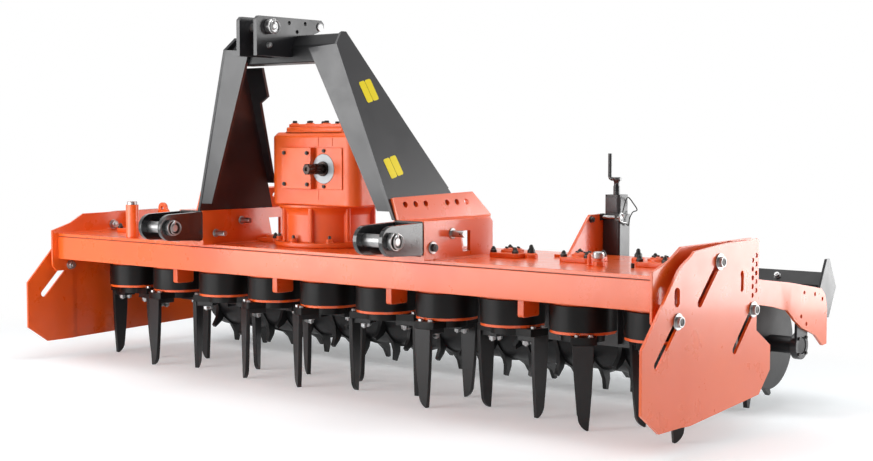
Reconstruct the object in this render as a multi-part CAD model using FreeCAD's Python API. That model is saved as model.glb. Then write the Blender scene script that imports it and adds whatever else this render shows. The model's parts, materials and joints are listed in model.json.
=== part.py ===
"""A 2.5 m power harrow: ten vertical rotors under a gear trough, with a three-point headstock,
a change-speed gearbox, sliding side plates, a levelling bar and a toothed packer roller.

Millimetres, +Z up, +X towards the machine's right end, -Y towards the tractor.
The origin is on the floor, under the middle of the whole machine.
"""
import FreeCAD, Part
import math
import os

Vec = FreeCAD.Vector
X_AXIS = Vec(1, 0, 0)
Y_AXIS = Vec(0, 1, 0)
Z_AXIS = Vec(0, 0, 1)

# ---- driving dimensions -------------------------------------------------------------
ROTOR_COUNT = 10
ROTOR_PITCH = 250.0          # neighbouring rotor axes, along X
TINE_HEIGHT = 236.0          # underside of the tine holder above the floor
ROTOR_HEIGHT = 130.0         # underside of the tine holder to the underside of the trough
TROUGH_HEIGHT = 92.0         # trough with its cover plate
TROUGH_HALF_DEPTH = 246.0    # rotor line to the front (and rear) face of the trough
MAST_HEIGHT = 610.0          # lower link pins to the top link pin
HITCH_SPACING = 944.0        # between the middles of the two lower clevises
HITCH_PIN_HEIGHT = 520.0     # lower link pins above the floor
HITCH_REACH = 415.0          # link pins in front of the rotor line
ROLLER_RADIUS = 200.0        # tips of the packer teeth
SIDE_PLATE_LOW = 66.0        # lower edge of the side plates above the floor

# ---- gaps between pieces ------------------------------------------------------------
RUNNING_GAP = 0.4            # between faces that turn or slide on each other
FIT_GAP = 0.3                # round a seat of one body
TINE_CIRCLE_GAP = 16.0       # between the outer faces of neighbouring tines as they pass
DRUM_GAP = 58.0              # between neighbouring rotor drums
TROUGH_END_MARGIN = 12.0     # half a pitch beyond the end rotors, and this much more

ROW_HALF = (ROTOR_COUNT - 1) * ROTOR_PITCH / 2
TROUGH_HALF_LENGTH = ROW_HALF + ROTOR_PITCH / 2 + TROUGH_END_MARGIN
TROUGH_BOTTOM = TINE_HEIGHT + ROTOR_HEIGHT
TROUGH_TOP = TROUGH_BOTTOM + TROUGH_HEIGHT
HITCH_HALF = HITCH_SPACING / 2
TOP_PIN_HEIGHT = HITCH_PIN_HEIGHT + MAST_HEIGHT


# ---- small builders -----------------------------------------------------------------
def box(x0, x1, y0, y1, z0, z1):
    return Part.makeBox(x1 - x0, y1 - y0, z1 - z0, Vec(x0, y0, z0))


def rod_x(y, z, radius, x0, x1):
    return Part.makeCylinder(radius, x1 - x0, Vec(x0, y, z), X_AXIS)


def rod_y(x, z, radius, y0, y1):
    return Part.makeCylinder(radius, y1 - y0, Vec(x, y0, z), Y_AXIS)


def rod_z(x, y, radius, z0, z1):
    return Part.makeCylinder(radius, z1 - z0, Vec(x, y, z0), Z_AXIS)


def prism(points, travel):
    """A closed outline of straight edges, pushed along a vector."""
    outline = Part.makePolygon(list(points) + [points[0]])
    return Part.Face(outline).extrude(travel)


def prism_x(outline, x0, x1):
    """An outline of (y, z) corners between two x planes."""
    return prism([Vec(x0, y, z) for y, z in outline], Vec(x1 - x0, 0, 0))


def prism_y(outline, y0, y1):
    """An outline of (x, z) corners between two y planes."""
    return prism([Vec(x, y0, z) for x, z in outline], Vec(0, y1 - y0, 0))


def prism_z(outline, z0, z1):
    """An outline of (x, y) corners between two z planes."""
    return prism([Vec(x, y, z0) for x, y in outline], Vec(0, 0, z1 - z0))


def joined(pieces):
    """One solid from pieces that share volume or faces."""
    whole = pieces[0].fuse(pieces[1:])
    return whole.removeSplitter()


def together(shapes):
    return Part.makeCompound([solid for shape in shapes for solid in shape.Solids])


def mirrored(shape):
    return shape.mirror(Vec(0, 0, 0), X_AXIS)


def both_sides(shape):
    """The piece and its mirror image across the machine's middle, as separate solids."""
    return together([shape, mirrored(shape)])


def rounded(shape, radius, direction):
    """Round the long straight edges that run along one direction."""
    edges = [e for e in shape.Edges if runs_along(e, direction)]
    return shape.makeFillet(radius, edges)


def runs_along(edge, direction):
    if not isinstance(edge.Curve, Part.Line):
        return False
    return abs(abs(edge.Curve.Direction.dot(direction)) - 1) < 1e-6


def rotor_x(index):
    return -ROW_HALF + index * ROTOR_PITCH


# ---- gear trough --------------------------------------------------------------------
TROUGH_WALL = 10.0
COVER_PLATE = 12.0
COVER_SETBACK = 3.0          # cover's long edges behind the trough's faces
TRAIN_HALF_DEPTH = 110.0
TRAIN_END_GAP = 30.0
STONE_LUG_WIDTH = 22.0
STONE_LUG_DEPTH = 74.0
STONE_LUG_DROP = 65.0
STONE_LUG_SETBACK = 157.0    # front of the trough to the middle of a lug
STONE_LUG_CORNER = 8.0


def gear_trough():
    half = TROUGH_HALF_LENGTH
    depth = TROUGH_HALF_DEPTH
    top = TROUGH_TOP - COVER_PLATE
    outer = box(-half, half, -depth, depth, TROUGH_BOTTOM, top)
    inner_half = half - TROUGH_WALL
    inner_depth = depth - TROUGH_WALL
    inner = box(-inner_half, inner_half, -inner_depth, inner_depth, TROUGH_BOTTOM + TROUGH_WALL, top)
    return outer.cut(inner)


def stone_lugs():
    """Upright lugs under the front of the trough, between every other pair of rotors."""
    y = -TROUGH_HALF_DEPTH + STONE_LUG_SETBACK
    lugs = []
    for index in range(1, ROTOR_COUNT - 1, 2):
        x = rotor_x(index) + ROTOR_PITCH / 2
        lug = box(x - STONE_LUG_WIDTH / 2, x + STONE_LUG_WIDTH / 2,
                  y - STONE_LUG_DEPTH / 2, y + STONE_LUG_DEPTH / 2,
                  TROUGH_BOTTOM - STONE_LUG_DROP, TROUGH_BOTTOM)
        lowest = [e for e in lug.Edges if e.BoundBox.ZMax < TROUGH_BOTTOM - 1 and runs_along(e, X_AXIS)]
        lugs.append(lug.makeFillet(STONE_LUG_CORNER, lowest))
    return together(lugs)


def trough_cover():
    depth = TROUGH_HALF_DEPTH - COVER_SETBACK
    return box(-TROUGH_HALF_LENGTH, TROUGH_HALF_LENGTH, -depth, depth, TROUGH_TOP - COVER_PLATE, TROUGH_TOP)


def gear_train():
    """The ten meshing gears inside the closed trough, as one plain heavy block."""
    half = TROUGH_HALF_LENGTH - TROUGH_WALL - TRAIN_END_GAP
    return box(-half, half, -TRAIN_HALF_DEPTH, TRAIN_HALF_DEPTH,
               TROUGH_BOTTOM + TROUGH_WALL, TROUGH_TOP - COVER_PLATE)


# ---- rotors and tines ---------------------------------------------------------------
TINE_RADIUS = (ROTOR_PITCH - TINE_CIRCLE_GAP) / 2    # outer face of a blade from its axis
DRUM_RADIUS = (ROTOR_PITCH - DRUM_GAP) / 2
DRUM_HEIGHT = 72.0
DISC_RADIUS = 94.0
DISC_THICKNESS = 8.0
NECK_RADIUS = 62.0
HOLDER_THICKNESS = 22.0
HOLDER_HALF_WIDTH = 36.0
TINE_THICKNESS = 14.0
TINE_LEAD = (27.0, 23.0, 14.0)         # front edge ahead of the radius: head, middle, tip
TINE_TRAIL = (-32.0, -25.0, -15.0)     # rear edge: head, middle, corner above the tip
TINE_POINT = 5.0             # width of the blunt point
TINE_BEVEL = 28.0            # height of the slanting cut that ends a blade
TINE_BEVEL_SAG = 6.0         # its curve below the straight line
TINE_FOOT = 16.0
TINE_FOOT_HALF_WIDTH = 23.0
TINE_FOOT_START = 44.0
FLANGE_EXTRA = 4.0           # bearing flange beyond the drum
HUB_SETBACK = 8.0            # bearing hub inside the drum's edge
FLANGE_RIM = 14.0
FLANGE_DROP = 26.0
FIRST_TURN = (-3.0, 86.0, 26.0, 66.0, 66.0, 17.0, 92.0, -8.0, 126.0, -31.0)
DRUM_TOP = TROUGH_BOTTOM - FLANGE_DROP - RUNNING_GAP


def bearing_flanges():
    """Bolted bearing housings under the trough, one over each rotor."""
    rings = []
    for index in range(ROTOR_COUNT):
        x = rotor_x(index)
        ring = rod_z(x, 0, DRUM_RADIUS + FLANGE_EXTRA, TROUGH_BOTTOM - FLANGE_RIM, TROUGH_BOTTOM)
        hub = rod_z(x, 0, DRUM_RADIUS - HUB_SETBACK, TROUGH_BOTTOM - FLANGE_DROP, TROUGH_BOTTOM)
        rings.append(joined([ring, hub]))
    return together(rings)


def rotor(index):
    x = rotor_x(index)
    drum_bottom = DRUM_TOP - DRUM_HEIGHT
    drum = rod_z(x, 0, DRUM_RADIUS, drum_bottom, DRUM_TOP)
    disc = rod_z(x, 0, DISC_RADIUS, drum_bottom - DISC_THICKNESS, drum_bottom)
    neck = rod_z(x, 0, NECK_RADIUS, TINE_HEIGHT, drum_bottom)
    holder_top = TINE_HEIGHT + HOLDER_THICKNESS
    arms = box(x - TINE_RADIUS, x + TINE_RADIUS, -HOLDER_HALF_WIDTH, HOLDER_HALF_WIDTH,
               TINE_HEIGHT, holder_top)
    limit = rod_z(x, 0, TINE_RADIUS, TINE_HEIGHT, holder_top)
    shape = joined([drum, disc, neck, arms.common(limit)])
    shape.rotate(Vec(x, 0, 0), Z_AXIS, FIRST_TURN[index % len(FIRST_TURN)])
    return shape


def tine_outline(hand):
    """A knife seen along its radius, (tangent, height); hand -1 is for rotors that turn the other way."""
    top = TINE_HEIGHT
    middle = top / 2
    lead_head, lead_middle, point = TINE_LEAD
    trail_head, trail_middle, corner = TINE_TRAIL
    heel = point - TINE_POINT
    sag = (heel + corner) / 2

    def place(along, height):
        return Vec(0, hand * along, height)

    lead = Part.Arc(place(lead_head, top), place(lead_middle, middle), place(point, 0))
    tip = Part.LineSegment(place(point, 0), place(heel, 0))
    bevel = Part.Arc(place(heel, 0), place(sag, TINE_BEVEL / 2 - TINE_BEVEL_SAG), place(corner, TINE_BEVEL))
    trail = Part.Arc(place(corner, TINE_BEVEL), place(trail_middle, middle), place(trail_head, top))
    head = Part.LineSegment(place(trail_head, top), place(lead_head, top))
    return Part.Face(Part.Wire([curve.toShape() for curve in (lead, tip, bevel, trail, head)]))


def tine_pair(index):
    hand = 1 if index % 2 == 0 else -1
    knife = tine_outline(hand).extrude(Vec(TINE_THICKNESS, 0, 0))
    knife.translate(Vec(TINE_RADIUS - TINE_THICKNESS, 0, 0))
    foot = box(TINE_FOOT_START, TINE_RADIUS - TINE_THICKNESS, -TINE_FOOT_HALF_WIDTH, TINE_FOOT_HALF_WIDTH,
               TINE_HEIGHT - TINE_FOOT, TINE_HEIGHT)
    blade = joined([knife, foot])
    other = blade.copy()
    other.rotate(Vec(0, 0, 0), Z_AXIS, 180)
    pair = Part.makeCompound([blade, other])
    pair.rotate(Vec(0, 0, 0), Z_AXIS, FIRST_TURN[index % len(FIRST_TURN)])
    pair.translate(Vec(rotor_x(index), 0, 0))
    return pair


# ---- gearbox ------------------------------------------------------------------------
GEARBOX_ROTOR = 4            # the column stands over this rotor
COLUMN_X = rotor_x(GEARBOX_ROTOR)
COLUMN_RADIUS = 146.0
COLUMN_HEIGHT = 134.0
COLUMN_FLANGE = 28.0
COLUMN_FLANGE_HEIGHT = 16.0
COLUMN_RIB = 14.0
GEARBOX_X = COLUMN_X + 63.0
GEARBOX_HALF_WIDTH = 188.0
GEARBOX_HEIGHT = 230.0
GEARBOX_FRONT = -147.0
GEARBOX_REAR = 150.0
GEARBOX_CORNER = 40.0
GEARBOX_SHOULDER = 14.0
CROWN_HALF_WIDTH = 133.0
CROWN_FRONT = -132.0
CROWN_REAR = 110.0
CROWN_HEIGHT = 16.0
LID_SETBACK = 8.0
LID_HEIGHT = 10.0
GEARBOX_BOTTOM = TROUGH_TOP + COLUMN_HEIGHT
GEARBOX_TOP = GEARBOX_BOTTOM + GEARBOX_HEIGHT
INPUT_X = COLUMN_X + 125.0
INPUT_HEIGHT = GEARBOX_BOTTOM + 116.0
INPUT_RADIUS = 17.46         # 1 3/8 inch shaft
INPUT_LENGTH = 66.0          # of spline in front of the collar
COLLAR_WALL = 5.0
COLLAR_PROUD = 13.0
SEAL_RADIUS = 46.0
SEAL_PROUD = 5.0
PANEL_LOW = 64.0             # front covers below the shaft
PANEL_HIGH = 66.0
PANEL_LEFT = 172.0           # from the shaft
PANEL_RIGHT = 80.0
PANEL_SPLIT = 35.0
PANEL_SPLIT_GAP = 10.0
SHAFT_COVER_PROUD = 20.0
PANEL_PROUD = 4.0


def gearbox_column():
    base = rod_z(COLUMN_X, 0, COLUMN_RADIUS + COLUMN_FLANGE, TROUGH_TOP, TROUGH_TOP + COLUMN_FLANGE_HEIGHT)
    barrel = rod_z(COLUMN_X, 0, COLUMN_RADIUS, TROUGH_TOP, GEARBOX_BOTTOM)
    pieces = [base, barrel]
    for turn in range(8):
        rib = box(COLUMN_X + COLUMN_RADIUS / 2, COLUMN_X + COLUMN_RADIUS + COLUMN_RIB,
                  -COLUMN_RIB / 2, COLUMN_RIB / 2, TROUGH_TOP, GEARBOX_BOTTOM)
        rib.rotate(Vec(COLUMN_X, 0, 0), Z_AXIS, 22.5 + 45 * turn)
        pieces.append(rib)
    return joined(pieces)


def gearbox_housing():
    left = GEARBOX_X - GEARBOX_HALF_WIDTH
    right = GEARBOX_X + GEARBOX_HALF_WIDTH
    body = box(left, right, GEARBOX_FRONT, GEARBOX_REAR, GEARBOX_BOTTOM, GEARBOX_TOP)
    body = rounded(body, GEARBOX_CORNER, Z_AXIS)
    body = body.makeChamfer(GEARBOX_SHOULDER, top_edges(body))
    crown = box(GEARBOX_X - CROWN_HALF_WIDTH, GEARBOX_X + CROWN_HALF_WIDTH, CROWN_FRONT, CROWN_REAR,
                GEARBOX_TOP, GEARBOX_TOP + CROWN_HEIGHT)
    return joined([body, rounded(crown, GEARBOX_CORNER / 2, Z_AXIS)])


def top_edges(shape):
    high = shape.BoundBox.ZMax
    return [e for e in shape.Edges if e.BoundBox.ZMin > high - 1e-3]


def gearbox_lid():
    half = CROWN_HALF_WIDTH - LID_SETBACK
    low = GEARBOX_TOP + CROWN_HEIGHT
    plate = box(GEARBOX_X - half, GEARBOX_X + half, CROWN_FRONT + LID_SETBACK, CROWN_REAR - LID_SETBACK,
                low, low + LID_HEIGHT)
    return rounded(plate, GEARBOX_CORNER / 2 - LID_SETBACK, Z_AXIS)


def shaft_covers():
    """A proud cover over the second shaft and a flat one round the input shaft."""
    low = INPUT_HEIGHT - PANEL_LOW
    high = INPUT_HEIGHT + PANEL_HIGH
    split = INPUT_X - PANEL_SPLIT
    proud = box(INPUT_X - PANEL_LEFT, split - PANEL_SPLIT_GAP / 2, GEARBOX_FRONT - SHAFT_COVER_PROUD,
                GEARBOX_FRONT, low, high)
    flat = box(split + PANEL_SPLIT_GAP / 2, INPUT_X + PANEL_RIGHT, GEARBOX_FRONT - PANEL_PROUD,
               GEARBOX_FRONT, low, high)
    hole = rod_y(INPUT_X, INPUT_HEIGHT, SEAL_RADIUS + FIT_GAP,
                 GEARBOX_FRONT - SHAFT_COVER_PROUD - 1, GEARBOX_FRONT)
    return together([proud.cut(hole), flat.cut(hole)])


def input_seal():
    ring = rod_y(INPUT_X, INPUT_HEIGHT, SEAL_RADIUS, GEARBOX_FRONT - SEAL_PROUD, GEARBOX_FRONT)
    bore = rod_y(INPUT_X, INPUT_HEIGHT, INPUT_RADIUS + COLLAR_WALL + RUNNING_GAP,
                 GEARBOX_FRONT - SEAL_PROUD - 1, GEARBOX_FRONT + 1)
    return ring.cut(bore)


def input_shaft():
    """The splined input shaft, plain here, with its collar in the seal."""
    collar_front = GEARBOX_FRONT - COLLAR_PROUD
    root = GEARBOX_FRONT - RUNNING_GAP
    collar = rod_y(INPUT_X, INPUT_HEIGHT, INPUT_RADIUS + COLLAR_WALL, collar_front, root)
    shaft = rod_y(INPUT_X, INPUT_HEIGHT, INPUT_RADIUS, collar_front - INPUT_LENGTH, root)
    return joined([collar, shaft])


# ---- hitch brackets and headstock ---------------------------------------------------
BRACKET_HALF = 58.0          # half the width of the box behind each clevis
BRACKET_OVERHANG = 39.0      # in front of the trough
BRACKET_FRONT = -TROUGH_HALF_DEPTH - BRACKET_OVERHANG
BRACKET_REAR = 27.0          # outer wall; the inner one runs on by BRACKET_TAIL
BRACKET_TAIL = 48.0
WING_TAIL = 104.0            # the leaning wing's foot runs on by this much
BRACKET_HEIGHT = 112.0
BRACKET_ROOF = TROUGH_TOP + BRACKET_HEIGHT
BRACKET_PLATE = 12.0
BRACKET_INNER = HITCH_HALF - BRACKET_HALF
BRACKET_OUTER = HITCH_HALF + BRACKET_HALF
WING_HEIGHT = 64.0           # of the leaning wing above the roof, at its front
WING_HOLE_RADIUS = 9.0
WING_HOLE_HEIGHT = 43.0
WING_HOLE_PITCH = 45.0
WING_HOLE_GROUPS = (39.0, 226.0)      # behind the bracket's front edge
WINDOW_LOW = 18.0
WINDOW_HIGH = 78.0
OUTER_WINDOW = (-127.0, -79.0)        # along Y
INNER_WINDOW = (4.0, 58.0)
LEG_PLATE = 10.0
LEG_FOOT_INSET = 44.0        # leg's outer face inside the clevis middle, at the roof
LEG_TOP_X = 231.0
LEG_TOP_DROP = 16.0          # leg tops below the top link pin
LEG_FOOT_X = HITCH_HALF - LEG_FOOT_INSET
LEG_TOP = TOP_PIN_HEIGHT - LEG_TOP_DROP
LEG_RISE = LEG_TOP - BRACKET_ROOF
LEG_SLOPE = (LEG_FOOT_X - LEG_TOP_X) / LEG_RISE      # sideways per height
LEG_LEAN = math.degrees(math.atan(LEG_SLOPE))
LEG_SHOULDER = 38.0          # front corner below the leg's top
LEG_FRONT_FOOT = BRACKET_FRONT - 8.0
LEG_FRONT_TOP = BRACKET_FRONT - 56.0
LEG_BACK_TOP = BRACKET_FRONT - 1.0
LEG_BACK_FOOT = BRACKET_REAR + 10.0
FLANGE_START = 24.0          # front flange above the roof
FLANGE_FOOT_WIDTH = 60.0
FLANGE_TOP_WIDTH = 118.0
HEM_WIDTH = 46.0             # rear hem of a leg, and its wider upper part
HEM_WIDE = 86.0
HEM_STEP = 345.0             # height of the step above the roof
CROSSBEAM_HEIGHT = 87.0
CROSSBEAM_SETBACK = 4.0      # its top below the leg tops
CROSSBEAM_GAP = 0.35         # its front face to the front flanges of the legs
TOP_PLATE = 14.0
TOP_PLATE_GAP = 60.0         # between the two top link plates
TOP_PLATE_RISE = 30.0        # above the top link pin
TOP_PLATE_DROP = 86.0
TOP_PLATE_NOSE = 51.0        # in front of the top link pin
TOP_PLATE_TAIL = 225.0       # behind the top link pin
TOP_PIN_RADIUS = 12.7
CLEVIS_EAR = 14.0
CLEVIS_HALF = 55.0
CLEVIS_RADIUS = 42.0
CLEVIS_ROOT = 46.0           # half height of an ear at its back plate
CLEVIS_BACK = 12.0
LOWER_PIN_RADIUS = 18.3
LOWER_PIN_HEAD = 25.0
LOWER_PIN_TAIL = 19.0        # beyond the inner ear, for the linch pin
TOP_PIN_HEAD = 22.0
TOP_PIN_TAIL = 18.0
PIN_HEAD_LENGTH = 16.0
PIN_CLEARANCE = 0.4
OUTER_BOLT_WASHER = (36.0, 36.0, 18.0, 4.0)          # behind the front edge, above the cover,
OUTER_BOLT = (36.0, 36.0, 12.0, 15.0)                # radius and length
STOP_PIN = (124.0, 72.0, 10.0, 46.0)
INNER_PINS = ((75.0, 38.0, 11.0, 30.0), (190.0, 76.0, 11.0, 18.0))


def leaning(outline, thickness, offset):
    """A plate of (y, height above the roof) corners, leant inwards and cut level at the roof."""
    stretch = math.cos(math.radians(LEG_LEAN))
    plate = prism_x([(y, rise / stretch) for y, rise in outline], -thickness, 0)
    plate.rotate(Vec(0, 0, 0), Y_AXIS, -LEG_LEAN)
    plate.translate(Vec(LEG_FOOT_X + offset / stretch, 0, BRACKET_ROOF))
    return plate


def above_roof():
    reach = 2 * HITCH_SPACING
    return box(-reach, reach, -reach, reach, BRACKET_ROOF, BRACKET_ROOF + 2 * LEG_RISE)


def bracket_wall(x0, rear):
    corner = 12.0
    side = [(BRACKET_FRONT, TROUGH_TOP), (BRACKET_FRONT, BRACKET_ROOF), (rear - corner, BRACKET_ROOF),
            (rear, BRACKET_ROOF - corner), (rear, TROUGH_TOP)]
    return prism_x(side, x0, x0 + BRACKET_PLATE)


def window(x, span):
    low = TROUGH_TOP + WINDOW_LOW
    high = TROUGH_TOP + WINDOW_HIGH
    first, last = span
    slant = 14.0
    outline = [(first + slant, low), (last, low), (last, high), (first, high)]
    return prism_x(outline, x - 1, x + BRACKET_PLATE + 1)


def hitch_bracket():
    inner_rear = BRACKET_REAR + BRACKET_TAIL
    inner_wall = bracket_wall(BRACKET_INNER, inner_rear).cut(window(BRACKET_INNER, INNER_WINDOW))
    outer_x = BRACKET_OUTER - BRACKET_PLATE
    outer_wall = bracket_wall(outer_x, BRACKET_REAR).cut(window(outer_x, OUTER_WINDOW))
    wing_foot = LEG_FOOT_X + BRACKET_PLATE
    roof = prism_z([(BRACKET_INNER, BRACKET_FRONT), (BRACKET_OUTER, BRACKET_FRONT),
                    (BRACKET_OUTER, BRACKET_REAR - BRACKET_PLATE), (wing_foot, BRACKET_REAR + WING_TAIL),
                    (BRACKET_INNER, BRACKET_REAR + WING_TAIL)], BRACKET_ROOF - BRACKET_PLATE, BRACKET_ROOF)
    foot = box(BRACKET_INNER, BRACKET_OUTER, BRACKET_FRONT, BRACKET_REAR, TROUGH_TOP,
               TROUGH_TOP + BRACKET_PLATE)
    return joined([inner_wall, outer_wall, roof, foot, bracket_wing()])


def bracket_wing():
    """The leaning plate that clamps a leg's foot from outside, with two groups of holes."""
    front = BRACKET_FRONT - 5
    rear = BRACKET_REAR
    foot = rear + WING_TAIL
    outline = [(front, -BRACKET_PLATE), (front, WING_HEIGHT), (rear + 46, WING_HEIGHT + 8), (foot, 2),
               (foot, -BRACKET_PLATE)]
    wing = leaning(outline, BRACKET_PLATE, BRACKET_PLATE + FIT_GAP).common(above_roof())
    holes = []
    for start in WING_HOLE_GROUPS:
        for step in range(3):
            y = BRACKET_FRONT + start + WING_HOLE_PITCH * step
            holes.append(rod_x(y, BRACKET_ROOF + WING_HOLE_HEIGHT, WING_HOLE_RADIUS,
                               LEG_FOOT_X - WING_HEIGHT, LEG_FOOT_X + WING_HEIGHT))
    return wing.cut(Part.makeCompound(holes))


def leg_strip(edge, widths, depth):
    """A folded strip along a leg's edge: edge is (y at foot, y at top), widths (rise, width)."""
    foot, top = edge
    corners = []
    for rise, width in widths:
        y = foot + (top - foot) * rise / LEG_RISE
        corners.append(Vec(LEG_FOOT_X - LEG_SLOPE * rise - width, y, BRACKET_ROOF + rise))
    return prism(corners, Vec(0, depth, 0))


def leg_front(rise):
    """The y of a leg's front edge at a height above the roof."""
    return LEG_FRONT_FOOT + (LEG_FRONT_TOP - LEG_FRONT_FOOT) * rise / (LEG_RISE - LEG_SHOULDER)


def crossbeam_front():
    return leg_front(LEG_RISE - CROSSBEAM_HEIGHT) + LEG_PLATE + CROSSBEAM_GAP


def headstock_leg():
    outline = [(LEG_FRONT_FOOT, 0), (LEG_FRONT_TOP, LEG_RISE - LEG_SHOULDER),
               (LEG_BACK_TOP - 20, LEG_RISE), (LEG_BACK_TOP, LEG_RISE), (LEG_BACK_FOOT, 0)]
    low = [(y, rise - 20 if rise == 0 else rise) for y, rise in outline]
    plate = leaning(low, LEG_PLATE, 0).common(above_roof())
    edge = LEG_PLATE / 2
    high = LEG_RISE - LEG_SHOULDER
    front = leg_strip((LEG_FRONT_FOOT, leg_front(LEG_RISE)),
                      [(FLANGE_START, edge), (high, edge), (high - 8, FLANGE_TOP_WIDTH),
                       (FLANGE_START, FLANGE_FOOT_WIDTH)], LEG_PLATE)
    hem_low = WING_HEIGHT + 20
    hem_high = LEG_RISE - CROSSBEAM_HEIGHT - CROSSBEAM_SETBACK
    rear = leg_strip((LEG_BACK_FOOT, LEG_BACK_TOP),
                     [(hem_low, edge), (hem_high, edge), (hem_high, HEM_WIDE), (HEM_STEP + 20, HEM_WIDE),
                      (HEM_STEP, HEM_WIDTH), (hem_low, HEM_WIDTH - 10)], -LEG_PLATE)
    return joined([plate, front, rear])


def headstock_crossbeam():
    half = LEG_TOP_X - LEG_PLATE / math.cos(math.radians(LEG_LEAN)) - FIT_GAP
    low = LEG_TOP - CROSSBEAM_HEIGHT
    high = LEG_TOP - CROSSBEAM_SETBACK
    front = crossbeam_front()
    profile = [(front, low), (front, LEG_TOP - LEG_SHOULDER), (LEG_BACK_TOP - 10, high),
               (LEG_BACK_TOP, high), (LEG_BACK_TOP + 44, low)]
    return prism_x(profile, -half, half)


def top_link_bracket():
    """Two plates over the crossbeam, with the hole for the upper link pin in front."""
    front = crossbeam_front()
    back = LEG_BACK_TOP
    beam_top = LEG_TOP - CROSSBEAM_SETBACK
    low = TOP_PIN_HEIGHT - TOP_PLATE_DROP
    high = TOP_PIN_HEIGHT + TOP_PLATE_RISE
    nose = -HITCH_REACH - TOP_PLATE_NOSE
    tail = -HITCH_REACH + TOP_PLATE_TAIL
    outline = [(nose, low), (front, low), (front, LEG_TOP - LEG_SHOULDER), (back - 10, beam_top),
               (back + 36, beam_top), (tail - 25, TOP_PIN_HEIGHT - 8), (tail, TOP_PIN_HEIGHT + 8),
               (tail, high - 10), (tail - 10, high), (nose + 10, high), (nose, high - 10)]
    inner = TOP_PLATE_GAP / 2
    plates = []
    for start in (inner, -inner - TOP_PLATE):
        plate = prism_x(outline, start, start + TOP_PLATE)
        for y, z, radius in top_plate_holes():
            plate = plate.cut(rod_x(y, z, radius, start - 1, start + TOP_PLATE + 1))
        plates.append(plate)
    web = box(-inner - 1, inner + 1, front - 12, front, low, low + 32)
    spacer = rod_x(tail - 18, TOP_PIN_HEIGHT + 10, 12, -inner - 1, inner + 1)
    return joined(plates + [web, spacer])


def top_plate_holes():
    """(y, z, radius): the link pin's hole and three small ones behind it."""
    pin = (-HITCH_REACH, TOP_PIN_HEIGHT, TOP_PIN_RADIUS + PIN_CLEARANCE)
    small = [(-HITCH_REACH + along, TOP_PIN_HEIGHT + up, 6.0)
             for along, up in ((80, 15), (146, 16), (112, -10))]
    return [pin] + small


def top_link_pin():
    outer = TOP_PLATE_GAP / 2 + TOP_PLATE
    shank = rod_x(-HITCH_REACH, TOP_PIN_HEIGHT, TOP_PIN_RADIUS, -outer - TOP_PIN_TAIL, outer + 2)
    head = rod_x(-HITCH_REACH, TOP_PIN_HEIGHT, TOP_PIN_HEAD, outer + RUNNING_GAP, outer + PIN_HEAD_LENGTH + 2)
    return joined([shank, head])


def hitch_clevis():
    """Two ears and a back plate in front of a hitch bracket, for one lower link."""
    back = BRACKET_FRONT - CLEVIS_BACK
    start = HITCH_HALF - CLEVIS_HALF
    end = HITCH_HALF + CLEVIS_HALF
    pieces = [box(start, end, back, BRACKET_FRONT, HITCH_PIN_HEIGHT - CLEVIS_ROOT, BRACKET_ROOF - 4)]
    profile = [(-HITCH_REACH, HITCH_PIN_HEIGHT - CLEVIS_RADIUS), (back, HITCH_PIN_HEIGHT - CLEVIS_ROOT),
               (back, HITCH_PIN_HEIGHT + CLEVIS_ROOT), (-HITCH_REACH, HITCH_PIN_HEIGHT + CLEVIS_RADIUS)]
    for x in (start, end - CLEVIS_EAR):
        pieces.append(prism_x(profile, x, x + CLEVIS_EAR))
        pieces.append(rod_x(-HITCH_REACH, HITCH_PIN_HEIGHT, CLEVIS_RADIUS, x, x + CLEVIS_EAR))
    bore = rod_x(-HITCH_REACH, HITCH_PIN_HEIGHT, LOWER_PIN_RADIUS + PIN_CLEARANCE, start - 1, end + 1)
    return joined(pieces).cut(bore)


def lower_pins():
    """The two lower link pins with their collars, heads to the machine's right."""
    pins = []
    for middle in (-HITCH_HALF, HITCH_HALF):
        ear = middle + CLEVIS_HALF
        tail = middle - CLEVIS_HALF - LOWER_PIN_TAIL
        shank = rod_x(-HITCH_REACH, HITCH_PIN_HEIGHT, LOWER_PIN_RADIUS, tail, ear + 2)
        head = rod_x(-HITCH_REACH, HITCH_PIN_HEIGHT, LOWER_PIN_HEAD, ear + RUNNING_GAP, ear + PIN_HEAD_LENGTH)
        pins.append(joined([shank, head]))
    return together(pins)


def bracket_bolts():
    """A washered bolt and a stop pin on the outer wall, and two pins on the inner one."""
    outer = [wall_rod(BRACKET_OUTER, place, 1) for place in (OUTER_BOLT_WASHER, OUTER_BOLT, STOP_PIN)]
    inner = [wall_rod(BRACKET_INNER, place, -1) for place in INNER_PINS]
    return together([joined(outer[:2]), outer[2]] + inner)


def wall_rod(x, place, side):
    """A rod out of a bracket wall: place is (behind the front edge, above the cover, radius, length)."""
    along, up, radius, length = place
    start, end = sorted((x, x + side * length))
    return rod_x(BRACKET_FRONT + along, TROUGH_TOP + up, radius, start, end)


# ---- pieces on the trough cover -----------------------------------------------------
CAP_HALF = 52.0
CAP_HEIGHT = 14.0
CAP_CORNER = 14.0
CAP_DOME_RADIUS = 34.0
CAP_DOME_RISE = 8.0
CAP_GAP = 1.0                # cap to the foot of a hitch bracket
MARKER_X = 237.0             # inside the left end rotor
MARKER_Y = -200.0
MARKER_RADIUS = 22.0
MARKER_HEIGHT = 114.0
MARKER_CAP_RADIUS = 17.0
MARKER_CAP_HEIGHT = 11.0
BREATHER_Y = -110.0
EYE_Y = 150.0
EYE_PLATE = 12.0
EYE_HEIGHT = 80.0            # of the hole above the cover
EYE_RADIUS = 22.0
EYE_HOLE = 8.0


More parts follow.
